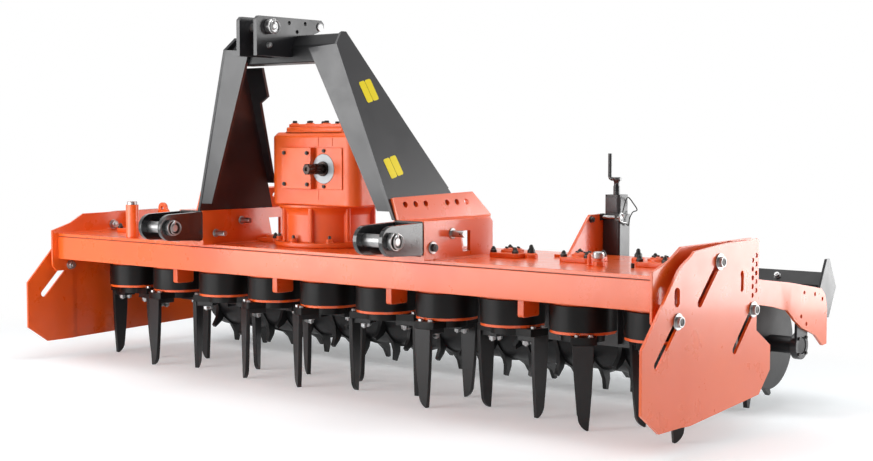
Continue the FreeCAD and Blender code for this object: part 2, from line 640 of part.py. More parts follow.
def bearing_caps():
    """Square bearing caps on the cover, except under the gearbox column."""
    caps = []
    footprints = both_sides(bracket_footprint())
    for index in range(ROTOR_COUNT):
        if index == GEARBOX_ROTOR:
            continue
        x = rotor_x(index)
        pad = box(x - CAP_HALF, x + CAP_HALF, -CAP_HALF, CAP_HALF, TROUGH_TOP, TROUGH_TOP + CAP_HEIGHT)
        pad = rounded(pad, CAP_CORNER, Z_AXIS)
        dome = rod_z(x, 0, CAP_DOME_RADIUS, TROUGH_TOP, TROUGH_TOP + CAP_HEIGHT + CAP_DOME_RISE)
        cap = joined([pad, dome]).cut(footprints)
        caps.append(cap.cut(column_footprint()))
    return together(caps)


def bracket_footprint():
    inner_rear = BRACKET_REAR + BRACKET_TAIL
    return box(BRACKET_INNER - CAP_GAP, BRACKET_OUTER + CAP_GAP, BRACKET_FRONT, inner_rear + CAP_GAP,
               TROUGH_TOP, BRACKET_ROOF)


def column_footprint():
    return rod_z(COLUMN_X, 0, COLUMN_RADIUS + COLUMN_FLANGE + CAP_GAP, TROUGH_TOP, GEARBOX_BOTTOM)


def marker_post():
    x = rotor_x(0) + MARKER_X
    top = TROUGH_TOP + MARKER_HEIGHT
    post = rod_z(x, MARKER_Y, MARKER_RADIUS, TROUGH_TOP, top)
    cap = rod_z(x, MARKER_Y, MARKER_CAP_RADIUS, top, top + MARKER_CAP_HEIGHT)
    return joined([post, cap])


def oil_breather():
    x = rotor_x(ROTOR_COUNT - 1) - ROTOR_PITCH / 2
    base = rod_z(x, BREATHER_Y, 16, TROUGH_TOP, TROUGH_TOP + 22)
    top = rod_z(x, BREATHER_Y, 20, TROUGH_TOP + 22, TROUGH_TOP + 46)
    return joined([base, top])


def lifting_eye():
    """An upright lug with a hole on the rear of the cover, near the left end."""
    x = rotor_x(0) - 35
    z = TROUGH_TOP + EYE_HEIGHT
    web = prism_y([(x - EYE_RADIUS, TROUGH_TOP), (x - EYE_RADIUS, z), (x, z + EYE_RADIUS * 0.9),
                   (x + EYE_RADIUS, z), (x + 110, TROUGH_TOP)], EYE_Y, EYE_Y + EYE_PLATE)
    head = rod_y(x, z, EYE_RADIUS, EYE_Y, EYE_Y + EYE_PLATE)
    hole = rod_y(x, z, EYE_HOLE, EYE_Y - 1, EYE_Y + EYE_PLATE + 1)
    return joined([web, head]).cut(hole)


# ---- ends of the trough, side plates and depth sectors ------------------------------
END_PLATE = 8.0
END_X = TROUGH_HALF_LENGTH + END_PLATE           # outer face of the end plates
END_FRONT = -TROUGH_HALF_DEPTH - 24.0
END_RISE = 72.0              # rear top corner above the cover
END_DROP = 8.0               # lower edge below the trough
END_TOE_DROP = 44.0          # and below the front guide bolt
END_SHOULDER = 12.0          # front top corner above the cover
END_GUIDE_FOOT = 16.0        # plate below the rear guide bolt
END_REAR = TROUGH_HALF_DEPTH - 6.0
END_TOP = TROUGH_TOP + END_RISE
SIDE_PLATE = 8.0
SIDE_STANDOFF = 35.0         # end plate to the outer face of a side plate
JOGGLE = 8.0                 # front part of a side plate stands in by this much
JOGGLE_REAR = -140.0
JOGGLE_FRONT = -170.0
SIDE_FRONT = -TROUGH_HALF_DEPTH - 112.0
SLIDE_TRAVEL = 140.0
SLIDE_ANGLE = 45.8           # degrees above the level, up and back
GUIDE_RADIUS = 10.0
GUIDE_SIDE_GAP = 1.5
GUIDE_WASHER = 22.0
GUIDE_HEAD = 14.0
UPPER_GUIDE = (1.0, TROUGH_TOP + 23.0)
FRONT_GUIDE = (-193.0, TROUGH_BOTTOM - 25.0)
REAR_GUIDE = (185.0, TROUGH_BOTTOM - 27.0)
RIGHT_TAIL = 225.0           # rear end of the right plate's lower edge
LEFT_TAIL = 432.0            # and of the left plate's
SIDE_RISE = 70.0             # top edge of a side plate above the cover
SIDE_SHOULDER = 13.0         # its front top corner below that edge
SIDE_TOP_FRONT = 44.0        # level part of the top edge, along Y
SIDE_TOP_REAR = 175.0
SIDE_KNEE = 288.0            # rearmost corner of the short plate
FRONT_OVAL = (-196.0, TROUGH_BOTTOM + 25, TROUGH_BOTTOM + 49, 13.0)   # y, two centres, radius
REAR_OVAL = (123.0, TROUGH_TOP - 57, TROUGH_TOP - 18, 9.0)
SECTOR_PLATE = 5.0
SECTOR_GAP = 5.0             # arm to the inner face of a depth sector
SECTOR_HOLE = 7.0
SECTOR_PITCH = 24.0
SECTOR_ROWS = 5
SECTOR_LENGTH = 140.0        # of its top band
SECTOR_BAND = 24.0
SECTOR_WIDTH = 50.0          # of the upright part
SECTOR_DROP = 10.0           # lower edge below the trough
ARM_PLATE = 8.0
ARM_INSET = 4.0              # arm to trough end plate
PIVOT_Y = -60.0
PIVOT_Z = TROUGH_TOP - 38.0
PIVOT_RADIUS = 20.0
PIVOT_WASHER = 28.0
PIVOT_WASHER_THICKNESS = 2.6
SIDE_X = END_X + SIDE_STANDOFF                   # outer face of the side plates
ARM_INNER = END_X + ARM_INSET
ARM_OUTER = ARM_INNER + ARM_PLATE


def trough_end():
    low = TROUGH_BOTTOM - END_DROP
    foot = TROUGH_BOTTOM - END_TOE_DROP
    shoulder = TROUGH_TOP + END_SHOULDER
    guide_foot = REAR_GUIDE[1] - END_GUIDE_FOOT
    outline = [(END_FRONT, foot + 20), (END_FRONT, shoulder), (-191, TROUGH_TOP + 36), (-132, END_TOP - 4),
               (END_REAR, END_TOP), (END_REAR, guide_foot), (REAR_GUIDE[0] - 35, guide_foot),
               (REAR_GUIDE[0] - 65, low), (FRONT_GUIDE[0] + 33, low), (FRONT_GUIDE[0] + 16, foot),
               (END_FRONT + 16, foot)]
    return prism_x(outline, TROUGH_HALF_LENGTH, END_X)


def guide_bolts():
    """Shouldered bolts that carry a side plate; the front one is shorter by the joggle."""
    bolts = []
    for (y, z), outer in ((UPPER_GUIDE, SIDE_X), (REAR_GUIDE, SIDE_X), (FRONT_GUIDE, SIDE_X - JOGGLE)):
        shank = rod_x(y, z, GUIDE_RADIUS, END_X, outer + 2)
        washer = rod_x(y, z, GUIDE_WASHER, outer + RUNNING_GAP, outer + 4)
        head = rod_x(y, z, GUIDE_HEAD, outer + 2, outer + 14)
        bolts.append(joined([shank, washer, head]))
    return together(bolts)


def side_plate(tail):
    """A soil guard with its front part set in; tail is the rear end of the lower edge."""
    low = SIDE_PLATE_LOW
    top = TROUGH_TOP + SIDE_RISE
    outline = [(-125, top - SIDE_SHOULDER), (SIDE_TOP_FRONT, top), (SIDE_TOP_REAR, top),
               (177, TROUGH_BOTTOM - 14), (207, TROUGH_BOTTOM - 22), (207, TROUGH_BOTTOM - 86),
               (SIDE_KNEE, TROUGH_BOTTOM - 135)]
    if tail > SIDE_KNEE:
        outline += [(tail, TROUGH_BOTTOM - 160), (tail, low + 20)]
    else:
        outline += [(SIDE_KNEE, low + 96), (tail, low + 34)]
    outline += [(-148, low + 1), (-276, low), (SIDE_FRONT, low + 57), (SIDE_FRONT, TROUGH_BOTTOM - 81),
                (-189, TROUGH_TOP + 11)]
    profile = prism_x(outline, END_X, SIDE_X + 5)
    strip = [(SIDE_X, LEFT_TAIL + 50), (SIDE_X, JOGGLE_REAR), (SIDE_X - JOGGLE, JOGGLE_FRONT),
             (SIDE_X - JOGGLE, SIDE_FRONT - 50), (SIDE_X - JOGGLE - SIDE_PLATE, SIDE_FRONT - 50),
             (SIDE_X - JOGGLE - SIDE_PLATE, JOGGLE_FRONT), (SIDE_X - SIDE_PLATE, JOGGLE_REAR),
             (SIDE_X - SIDE_PLATE, LEFT_TAIL + 50)]
    plate = profile.common(prism_z(strip, 0, 2 * TROUGH_TOP))
    return plate.cut(Part.makeCompound(guide_slots() + side_holes()))


def guide_slots():
    """Slots that let the plate ride up and back on its guide bolts."""
    slots = []
    turn = math.radians(SLIDE_ANGLE)
    along = (SLIDE_TRAVEL * math.cos(turn), SLIDE_TRAVEL * math.sin(turn))
    half = GUIDE_RADIUS + GUIDE_SIDE_GAP
    across = (-half * math.sin(turn), half * math.cos(turn))
    x0, x1 = END_X + 1, SIDE_X + 6
    for y, z in (UPPER_GUIDE, FRONT_GUIDE, REAR_GUIDE):
        end = (y - along[0], z - along[1])
        band = [(y + across[0], z + across[1]), (y - across[0], z - across[1]),
                (end[0] - across[0], end[1] - across[1]), (end[0] + across[0], end[1] + across[1])]
        slots.append(joined([prism_x(band, x0, x1), rod_x(y, z, half, x0, x1),
                             rod_x(end[0], end[1], half, x0, x1)]))
    return slots


def side_holes():
    """The two upright oval holes beside the guide slots."""
    x0, x1 = END_X + 1, SIDE_X + 6
    holes = []
    for y, low, high, radius in (FRONT_OVAL, REAR_OVAL):
        holes.append(joined([rod_x(y, low, radius, x0, x1), rod_x(y, high, radius, x0, x1),
                             box(x0, x1, y - radius, y + radius, low, high)]))
    return holes


def depth_sector():
    """A drilled plate outside the roller arm; pins through it set the working depth."""
    x0 = ARM_OUTER + SECTOR_GAP
    x1 = x0 + SECTOR_PLATE
    low = TROUGH_BOTTOM - SECTOR_DROP
    band = END_TOP - SECTOR_BAND
    high = END_TOP - 2
    front = END_REAR - SECTOR_LENGTH
    neck = END_REAR - SECTOR_WIDTH
    plate = prism_x([(front, band), (front, high), (END_REAR - 8, END_TOP), (END_REAR, END_TOP - 10),
                     (END_REAR, low), (neck, low), (neck - 8, band)], x0, x1)
    holes = [rod_x(y, z, SECTOR_HOLE, x0 - 1, x1 + 1) for y, z in sector_holes()]
    carrier = box(END_X, x0 + 1, front + 10, END_REAR - 8, band, high)
    return joined([plate, carrier]).cut(Part.makeCompound(holes))


def sector_holes():
    """(y, z) of two holes in the top band and two staggered rows down the plate."""
    first = TROUGH_BOTTOM + 9
    front = END_REAR - SECTOR_LENGTH
    holes = [(front + 30, END_TOP - 14), (front + 55, END_TOP - 14)]
    holes += [(END_REAR - 34, first + SECTOR_PITCH * step) for step in range(SECTOR_ROWS)]
    holes += [(END_REAR - 14, first + SECTOR_PITCH * (step + 0.5)) for step in range(SECTOR_ROWS)]
    return holes


def arm_pivot():
    pin = rod_x(PIVOT_Y, PIVOT_Z, PIVOT_RADIUS, END_X, ARM_OUTER + PIVOT_WASHER_THICKNESS)
    washer = rod_x(PIVOT_Y, PIVOT_Z, PIVOT_WASHER, ARM_OUTER + RUNNING_GAP, ARM_OUTER + PIVOT_WASHER_THICKNESS)
    return joined([pin, washer])


# ---- levelling bar and its two jacks ------------------------------------------------
JACK_INSET = 327.0           # inside the end rotors
JACK_X = ROW_HALF - JACK_INSET
JACK_STANDOFF = 36.0         # behind the trough cover
JACK_Y = TROUGH_HALF_DEPTH + JACK_STANDOFF
JACK_SIDE = 60.0
JACK_WALL = 5.0
JACK_TOP = TROUGH_TOP + 120.0
JACK_BOTTOM = TROUGH_BOTTOM - 6.0
JACK_HEAD_SIDE = 52.0
JACK_HEAD_HEIGHT = 58.0
GUSSET_PLATE = 10.0
CRANK_RADIUS = 8.0
CRANK_NECK = 46.0
CRANK_ARM = 24.0
CRANK_HANDLE = 78.0
BAR_LOW = 180.0
BAR_HIGH = 310.0
BAR_PLATE = 12.0
BAR_LIP = 34.0               # top lip behind the jack's middle
BAR_INSET = 57.0             # inside the trough's ends
BAR_POST_GAP = 0.6           # post to its tube
BAR_POST_TOP = 520.0


def jack_tube():
    half = JACK_SIDE / 2
    outer = box(JACK_X - half, JACK_X + half, JACK_Y - half, JACK_Y + half, JACK_BOTTOM, JACK_TOP)
    outer = rounded(outer, 6, Z_AXIS)
    bore = half - JACK_WALL
    inner = box(JACK_X - bore, JACK_X + bore, JACK_Y - bore, JACK_Y + bore, JACK_BOTTOM - 1, JACK_TOP - 4)
    head = JACK_HEAD_SIDE / 2
    block = box(JACK_X - head, JACK_X + head, JACK_Y - head, JACK_Y + head, JACK_TOP,
                JACK_TOP + JACK_HEAD_HEIGHT)
    lug = box(JACK_X - 20, JACK_X + 20, TROUGH_HALF_DEPTH, JACK_Y - half + 1, TROUGH_BOTTOM + 34,
              TROUGH_TOP - 28)
    return joined([outer.cut(inner), rounded(block, 8, Z_AXIS), lug])


def jack_gusset():
    """The upright plate beside a jack, on a foot on the cover."""
    x1 = JACK_X - JACK_SIDE / 2
    back = JACK_Y + 20
    outline = [(77, TROUGH_TOP), (TROUGH_HALF_DEPTH, TROUGH_TOP), (back, TROUGH_TOP + 22),
               (back, JACK_TOP - 16), (back - 10, JACK_TOP), (192, JACK_TOP), (182, JACK_TOP - 8)]
    plate = prism_x(outline, x1 - GUSSET_PLATE, x1)
    foot = box(x1 - 50, x1, 77, TROUGH_HALF_DEPTH - 6, TROUGH_TOP, TROUGH_TOP + 8)
    return joined([plate, foot])


def jack_crank():
    """Screw neck, crank arm and upright handle, one round bar bent twice."""
    low = JACK_TOP + JACK_HEAD_HEIGHT
    level = low + CRANK_NECK
    x = JACK_X - CRANK_ARM
    neck = rod_z(JACK_X, JACK_Y, CRANK_RADIUS + 2, low, level)
    arm = rod_x(JACK_Y, level, CRANK_RADIUS, x, JACK_X + 16)
    handle = rod_z(x, JACK_Y, CRANK_RADIUS, level, level + CRANK_HANDLE)
    elbow = Part.makeSphere(CRANK_RADIUS, Vec(x, JACK_Y, level))
    return joined([neck, arm, handle, elbow])


def levelling_bar():
    """The board behind the rotors, on two posts that slide in the jack tubes."""
    half_length = TROUGH_HALF_LENGTH - BAR_INSET
    front = JACK_Y - BAR_PLATE / 2
    plate = box(-half_length, half_length, front, front + BAR_PLATE, BAR_LOW, BAR_HIGH)
    lip = box(-half_length, half_length, front, JACK_Y + BAR_LIP, BAR_HIGH - 10, BAR_HIGH)
    toe = box(-half_length, half_length, front, JACK_Y + 24, BAR_LOW, BAR_LOW + 10)
    half = JACK_SIDE / 2 - JACK_WALL - BAR_POST_GAP
    posts = [box(x - half, x + half, JACK_Y - half, JACK_Y + half, BAR_LOW + 10, BAR_POST_TOP)
             for x in (-JACK_X, JACK_X)]
    return joined([plate, lip, toe] + posts)


# ---- packer roller and its frame ----------------------------------------------------
ROLLER_GAP = 9.0             # levelling bar's lip to the tips of the teeth
ROLLER_REACH = JACK_Y + BAR_LIP + ROLLER_GAP + ROLLER_RADIUS     # roller axis behind the rotors
ARM_FLARE = 10.0             # rear part of an arm stands out by this much
FLARE_START = ROLLER_REACH - 135.0
FLARE_END = ROLLER_REACH - 85.0
GUIDE_ARM_GAP = 5.0          # rear guide bolt to the arm
BEAM_SIDE = 56.0
BEAM_ANGLE = 43.9            # of the beam above the level, seen from the roller axis
BEAM_GAP = 8.0               # beam's face to the tips of the teeth
BEAM_END_PLATE = 8.0
BEAM_END_HALF_HEIGHT = 88.0
BEAM_END_HALF_DEPTH = 56.0
TOOTH_HEIGHT = 62.0
TUBE_RADIUS = ROLLER_RADIUS - TOOTH_HEIGHT
ROLLER_INSET = 77.0          # end of the roller tube inside the trough's ends
TUBE_HALF = TROUGH_HALF_LENGTH - ROLLER_INSET
AXLE_RADIUS = 25.0
RING_PITCH = 125.0
RING_PLATE = 14.0
RING_BAND = 8.0
TEETH = 9
RING_TURN = 10.0             # each ring is turned on from its neighbour
SCRAPER_WIDTH = 90.0
SCRAPER_PLATE = 10.0
SCRAPER_GAP = 6.0
BEARING_RADIUS = 40.0
BEARING_WIDTH = 20.0
HANGER_HALF = 34.0
BEAM_REACH = ROLLER_RADIUS + BEAM_GAP + BEAM_SIDE / 2            # roller axis to beam axis
BEAM_Y = ROLLER_REACH + BEAM_REACH * math.cos(math.radians(BEAM_ANGLE))
BEAM_Z = ROLLER_RADIUS + BEAM_REACH * math.sin(math.radians(BEAM_ANGLE))
FLARED_INNER = ARM_INNER + ARM_FLARE


def behind_roller(corners):
    """Corners given from the roller's axis."""
    return [(ROLLER_REACH + along, ROLLER_RADIUS + up) for along, up in corners]


def roller_arm():
    nose = [(PIVOT_Y + along, PIVOT_Z + up)
            for along, up in ((-40, 5), (-32, 28), (-10, 40), (15, 41))]
    upper = behind_roller([(-243, 211), (-104, 194)])
    tail = [(BEAM_Y + along, BEAM_Z + up) for along, up in ((-67, -2.6), (-40, -23.6), (-27, -63.6))]
    tail.append((tail[-1][0], ROLLER_RADIUS - 8))
    lower = behind_roller([(115, -10), (66, 26), (-19, 55), (-67, 82), (-104, 113), (-180, 130)])
    clear = REAR_GUIDE[1] + GUIDE_RADIUS + GUIDE_ARM_GAP
    chin = [(REAR_GUIDE[0] + 70, clear - 10), (REAR_GUIDE[0] + 12, clear),
            (REAR_GUIDE[0] - 20, clear + 2), (PIVOT_Y + 10, PIVOT_Z - 41), (PIVOT_Y - 22, PIVOT_Z - 32)]
    profile = prism_x(nose + upper + tail + lower + chin, END_X, FLARED_INNER + 2 * ARM_PLATE)
    far = 2 * ROLLER_REACH
    strip = [(ARM_INNER, -far), (ARM_INNER, FLARE_START), (FLARED_INNER, FLARE_END), (FLARED_INNER, far),
             (FLARED_INNER + ARM_PLATE, far), (FLARED_INNER + ARM_PLATE, FLARE_END),
             (ARM_OUTER, FLARE_START), (ARM_OUTER, -far)]
    arm = profile.common(prism_z(strip, 0, 2 * TROUGH_TOP))
    return arm.cut(Part.makeCompound([pivot_bore()] + arm_holes()))


def pivot_bore():
    return rod_x(PIVOT_Y, PIVOT_Z, PIVOT_RADIUS + RUNNING_GAP, ARM_INNER - 1, ARM_OUTER + 1)


def arm_holes():
    """Two rows of small holes near the rear of an arm."""
    corners = behind_roller([(-7, 157), (62, 147), (111, 129), (-24, 89), (9, 64)])
    return [rod_x(y, z, 6, ARM_INNER, FLARED_INNER + 2 * ARM_PLATE) for y, z in corners]


def roller_beam():
    half = BEAM_SIDE / 2
    end = FLARED_INNER - BEAM_END_PLATE
    tube = box(-end, end, -half, half, -half, half)
    tube.rotate(Vec(0, 0, 0), X_AXIS, BEAM_ANGLE)
    tube.translate(Vec(0, BEAM_Y, BEAM_Z))
    return tube


def beam_end():
    """Diamond plate between the beam and an arm."""
    y = BEAM_Y - 7
    z = BEAM_Z - 8
    flat = 10.0
    tall = BEAM_END_HALF_HEIGHT
    deep = BEAM_END_HALF_DEPTH
    diamond = [(y - flat, z + tall), (y + flat, z + tall), (y + deep, z), (y + flat, z - tall),
               (y - flat, z - tall), (y - deep, z)]
    return prism_x(diamond, FLARED_INNER - BEAM_END_PLATE, FLARED_INNER)


def polar(radius, angle):
    return (-radius * math.cos(angle), radius * math.sin(angle))


def tooth_ring(turn):
    """A flat ring of hooked teeth round the x axis, with one tooth pointing down at turn 0."""
    corners = []
    step = 2 * math.pi / TEETH
    base = TUBE_RADIUS + RING_BAND
    for tooth in range(TEETH):
        a = -math.pi / 2 + tooth * step + math.radians(turn)
        corners.append(polar(base, a - 0.03))
        corners.append(polar(base + TOOTH_HEIGHT * 0.3, a - 0.06))
        corners.append(polar(ROLLER_RADIUS, a - 0.03))
        corners.append(polar(ROLLER_RADIUS, a + 0.03))
        corners.append(polar(base + TOOTH_HEIGHT * 0.36, a + 0.10))
        corners.append(polar(base, a + 0.28))
    outline = Part.makePolygon([Vec(0, y, z) for y, z in corners + corners[:1]])
    disc = Part.Face(outline).extrude(Vec(RING_PLATE, 0, 0))
    return disc.cut(rod_x(0, 0, TUBE_RADIUS + FIT_GAP, -1, RING_PLATE + 1))


def ring_count():
    count = int((2 * TUBE_HALF - RING_PLATE) // RING_PITCH) + 1
    return count - 1 + count % 2


def packer_rings():
    rings = []
    middle = ring_count() // 2
    for number in range(ring_count()):
        ring = tooth_ring(RING_TURN * (abs(number - middle) % 4))
        ring.translate(Vec((number - middle) * RING_PITCH - RING_PLATE / 2, ROLLER_REACH, ROLLER_RADIUS))
        rings.append(ring)
    return together(rings)


def packer_roller():
    tube = rod_x(ROLLER_REACH, ROLLER_RADIUS, TUBE_RADIUS, -TUBE_HALF, TUBE_HALF)
    end = FLARED_INNER - 2
    axle = rod_x(ROLLER_REACH, ROLLER_RADIUS, AXLE_RADIUS, -end, end)
    return joined([tube, axle])


def roller_bearing():
    """A bearing in its hanger plate inside an arm."""
    x1 = FLARED_INNER
    x0 = x1 - BEARING_WIDTH
    disc = rod_x(ROLLER_REACH, ROLLER_RADIUS, BEARING_RADIUS, x0, x1)
    hanger = box(x1 - BEAM_END_PLATE, x1, ROLLER_REACH - HANGER_HALF, ROLLER_REACH + HANGER_HALF,
                 ROLLER_RADIUS + 10, ROLLER_RADIUS + 120)
    bore = rod_x(ROLLER_REACH, ROLLER_RADIUS, AXLE_RADIUS + RUNNING_GAP, x0 - 1, x1 + 1)
    return joined([disc, hanger]).cut(bore)


def scrapers():
    """One scraper between each pair of tooth rings, from the beam down to the roller tube."""
    far = BEAM_REACH - BEAM_SIDE / 2
    near = TUBE_RADIUS + SCRAPER_GAP
    count = ring_count() - 1
    blades = []
    for number in range(count):
        x = (number - (count - 1) / 2) * RING_PITCH
        blade = box(x - SCRAPER_WIDTH / 2, x + SCRAPER_WIDTH / 2, near, far, -SCRAPER_PLATE / 2,
                    SCRAPER_PLATE / 2)
        blade.rotate(Vec(0, 0, 0), X_AXIS, BEAM_ANGLE)
        blade.translate(Vec(0, ROLLER_REACH, ROLLER_RADIUS))
        blades.append(blade)
    return together(blades)


# ---- the whole machine --------------------------------------------------------------
def rotor_row():
    row = {}
    for index in range(ROTOR_COUNT):
        row["rotor_%02d" % (index + 1)] = rotor(index)
        row["tine_pair_%02d" % (index + 1)] = tine_pair(index)
    return row


def trough_pieces():
    return {
        "gear_trough": gear_trough(),
        "stone_lugs": stone_lugs(),
        "trough_cover": trough_cover(),
        "gear_train": gear_train(),
        "bearing_flanges": bearing_flanges(),
        "bearing_caps": bearing_caps(),
        "marker_post": marker_post(),
        "oil_breather": oil_breather(),
        "lifting_eye": lifting_eye(),
        "trough_ends": both_sides(trough_end()),
        "end_bolts": both_sides(together([guide_bolts(), arm_pivot()])),
        "depth_sectors": both_sides(depth_sector()),
        "jack_tubes": both_sides(jack_tube()),
        "jack_gussets": both_sides(jack_gusset()),
        "jack_cranks": both_sides(jack_crank()),
        "levelling_bar": levelling_bar(),
    }


def drive_and_hitch():
    return {
        "gearbox_column": gearbox_column(),
        "gearbox_housing": gearbox_housing(),
        "gearbox_covers": together([gearbox_lid(), shaft_covers()]),
        "input_seal": input_seal(),
        "input_shaft": input_shaft(),
        "hitch_bracket_right": hitch_bracket(),
        "hitch_bracket_left": mirrored(hitch_bracket()),
        "headstock_leg_right": headstock_leg(),
        "headstock_leg_left": mirrored(headstock_leg()),
        "headstock_crossbeam": headstock_crossbeam(),
        "top_link_bracket": top_link_bracket(),
        "hitch_clevises": both_sides(hitch_clevis()),
        "bracket_bolts": both_sides(bracket_bolts()),
        "link_pins": together([top_link_pin(), lower_pins()]),
    }


def ends_and_roller():
    return {
        "side_plate_right": side_plate(RIGHT_TAIL),
        "side_plate_left": mirrored(side_plate(LEFT_TAIL)),
        "roller_arm_right": roller_arm(),
        "roller_arm_left": mirrored(roller_arm()),
        "roller_bearings": both_sides(roller_bearing()),
        "roller_beam": roller_beam(),
        "beam_ends": both_sides(beam_end()),
        "scrapers": scrapers(),
        "packer_roller": packer_roller(),
        "packer_rings": packer_rings(),
    }


def centred(parts):
    """Put the origin on the floor under the middle of the whole machine."""
    bounds = Part.makeCompound(list(parts.values())).BoundBox
    shift = Vec(-(bounds.XMin + bounds.XMax) / 2, -(bounds.YMin + bounds.YMax) / 2, -bounds.ZMin)
    for shape in parts.values():
        shape.translate(shift)


def main():
    parts = {**trough_pieces(), **rotor_row(), **drive_and_hitch(), **ends_and_roller()}
    centred(parts)
    os.makedirs("parts", exist_ok=True)
    for name, shape in parts.items():
        shape.exportStep("parts/%s.step" % name)


main()
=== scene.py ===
import json
import math
import random

import bmesh
import bpy
from mathutils import Matrix, Vector


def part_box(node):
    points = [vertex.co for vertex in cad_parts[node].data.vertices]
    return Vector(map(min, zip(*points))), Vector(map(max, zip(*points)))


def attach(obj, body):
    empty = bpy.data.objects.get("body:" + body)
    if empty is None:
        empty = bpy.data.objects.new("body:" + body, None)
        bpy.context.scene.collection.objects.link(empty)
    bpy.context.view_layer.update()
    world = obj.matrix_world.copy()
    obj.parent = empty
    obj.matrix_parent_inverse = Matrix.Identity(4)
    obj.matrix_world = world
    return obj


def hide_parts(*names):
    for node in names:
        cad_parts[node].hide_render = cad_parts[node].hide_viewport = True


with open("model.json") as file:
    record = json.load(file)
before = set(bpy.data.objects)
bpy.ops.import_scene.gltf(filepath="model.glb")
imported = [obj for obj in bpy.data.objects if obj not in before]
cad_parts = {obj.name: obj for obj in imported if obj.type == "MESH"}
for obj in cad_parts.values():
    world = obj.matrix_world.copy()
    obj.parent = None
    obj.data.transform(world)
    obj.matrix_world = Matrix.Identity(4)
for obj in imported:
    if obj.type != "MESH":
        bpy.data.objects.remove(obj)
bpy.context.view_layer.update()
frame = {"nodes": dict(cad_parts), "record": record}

NODES = frame["nodes"]
BODIES = frame["record"]["behaviour"]["bodies"]
BODY_OF = {node: body for body, nodes in BODIES.items() for node in nodes}
MM = 0.001
UP, DOWN = Vector((0, 0, 1)), Vector((0, 0, -1))
RIGHT, LEFT = Vector((1, 0, 0)), Vector((-1, 0, 0))
FORWARD = Vector((0, -1, 0))
ROTORS = 10
GEARBOX_ROTOR = 4  # counted from 0: the gearbox column stands over it
LEG_LEAN = 19.9  # of the headstock's legs, in degrees
BEAM_ANGLE = 43.9  # of the roller beam above the level, seen from the roller's axis, in degrees
scene = bpy.context.scene
rng = random.Random(7)  # ripples of the weld beads


def new_object(name, data):
    holder = bpy.data.objects.new(name, data)
    scene.collection.objects.link(holder)
    return holder


# ---- anchors, all read from the frame
def low(node):
    return Vector(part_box(node)[0])


def high(node):
    return Vector(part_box(node)[1])


def middle(node):
    return (low(node) + high(node)) / 2


LINE_Y = middle("rotor_01").y  # the rotor line
TROUGH_TOP = high("trough_cover").z
TROUGH_FRONT, TROUGH_REAR = low("trough_cover").y, high("trough_cover").y
TROUGH_HALF = high("gear_trough").x


def spot(x, y, z):
    """A place in millimetres from the middle of the rotor line, at floor level."""
    return Vector((x * MM, LINE_Y + y * MM, z * MM))


def at_height(place, z):
    return Vector((place.x, place.y, z))


def on_cover(x, y):
    """A place on the trough's cover, in millimetres from the middle of the rotor line."""
    return at_height(spot(x, y, 0), TROUGH_TOP)


def turned(centre, radius, angle, z):
    """A place on a circle round an upright axis, angle in degrees."""
    a = math.radians(angle)
    return Vector((centre.x + radius * math.cos(a), centre.y + radius * math.sin(a), z))


def rotor_middles():
    return [middle("rotor_%02d" % index) for index in range(1, ROTORS + 1)]


# ---- materials
WHITE = (1, 1, 1, 1)


def put(node, **values):
    """Constants on a node's inputs, each named with _ for the spaces."""
    for name, value in values.items():
        node.inputs[name.replace("_", " ")].default_value = value


class Graph:
    """A node tree. Its methods add nodes and return a socket."""

    def __init__(self, owner):
        owner.use_nodes = True
        self.nodes, self.link = owner.node_tree.nodes, owner.node_tree.links.new

    def noise(self, scale, detail, rough=0.5):
        coords = self.nodes.new("ShaderNodeTexCoord")
        node = self.nodes.new("ShaderNodeTexNoise")
        put(node, Scale=scale, Detail=detail, Roughness=rough)
        self.link(coords.outputs["Object"], node.inputs["Vector"])
        return node.outputs["Fac"]

    def remap(self, value, span, to=(0, 1)):
        """A value carried from one span to another, and held at its ends."""
        node = self.nodes.new("ShaderNodeMapRange")
        put(node, From_Min=span[0], From_Max=span[1], To_Min=to[0], To_Max=to[1])
        self.link(value, node.inputs["Value"])
        return node.outputs["Result"]

    def feed(self, node, values):
        """Each value goes to the next input: a socket is linked, a tuple is set."""
        for socket, value in zip(node.inputs, values):
            if isinstance(value, tuple):
                socket.default_value = value
            else:
                self.link(value, socket)
        return node

    def calculate(self, operation, *values):
        node = self.nodes.new("ShaderNodeMath")
        node.operation = operation
        return self.feed(node, values).outputs[0]

    def vector(self, operation, *values):
        node = self.nodes.new("ShaderNodeVectorMath")
        node.operation = operation
        return self.feed(node, values).outputs["Vector" if operation == "MULTIPLY" else "Value"]

    def mix_shaders(self, *values):
        return self.feed(self.nodes.new("ShaderNodeMixShader"), values).outputs[0]

    def blend(self, factor, first, second):
        node = self.nodes.new("ShaderNodeMix")
        node.data_type = "RGBA"
        for socket, colour in ((node.inputs[6], first), (node.inputs[7], second)):
            if isinstance(colour, tuple):
                socket.default_value = (*colour, 1)
            else:
                self.link(colour, socket)
        self.link(factor, node.inputs[0])
        return node.outputs[2]

    def edge_mask(self, radius):
        """Near 1 along outside edges, broken up by noise."""
        bevel = self.nodes.new("ShaderNodeBevel")
        bevel.samples = 4
        put(bevel, Radius=radius)
        geometry = self.nodes.new("ShaderNodeNewGeometry")
        dot = self.vector("DOT_PRODUCT", bevel.outputs["Normal"], geometry.outputs["Normal"])
        edge = self.remap(dot, (0.99, 0.86))
        patch = self.remap(self.noise(60, 5), (0.5, 0.68))
        return self.calculate("MULTIPLY", edge, patch)

    def seen_white(self):
        """1 for the camera's rays and for reflections, 0 for the rays that bring light."""
        path = self.nodes.new("ShaderNodeLightPath").outputs
        return self.calculate("MAXIMUM", path["Is Camera Ray"], path["Is Glossy Ray"])


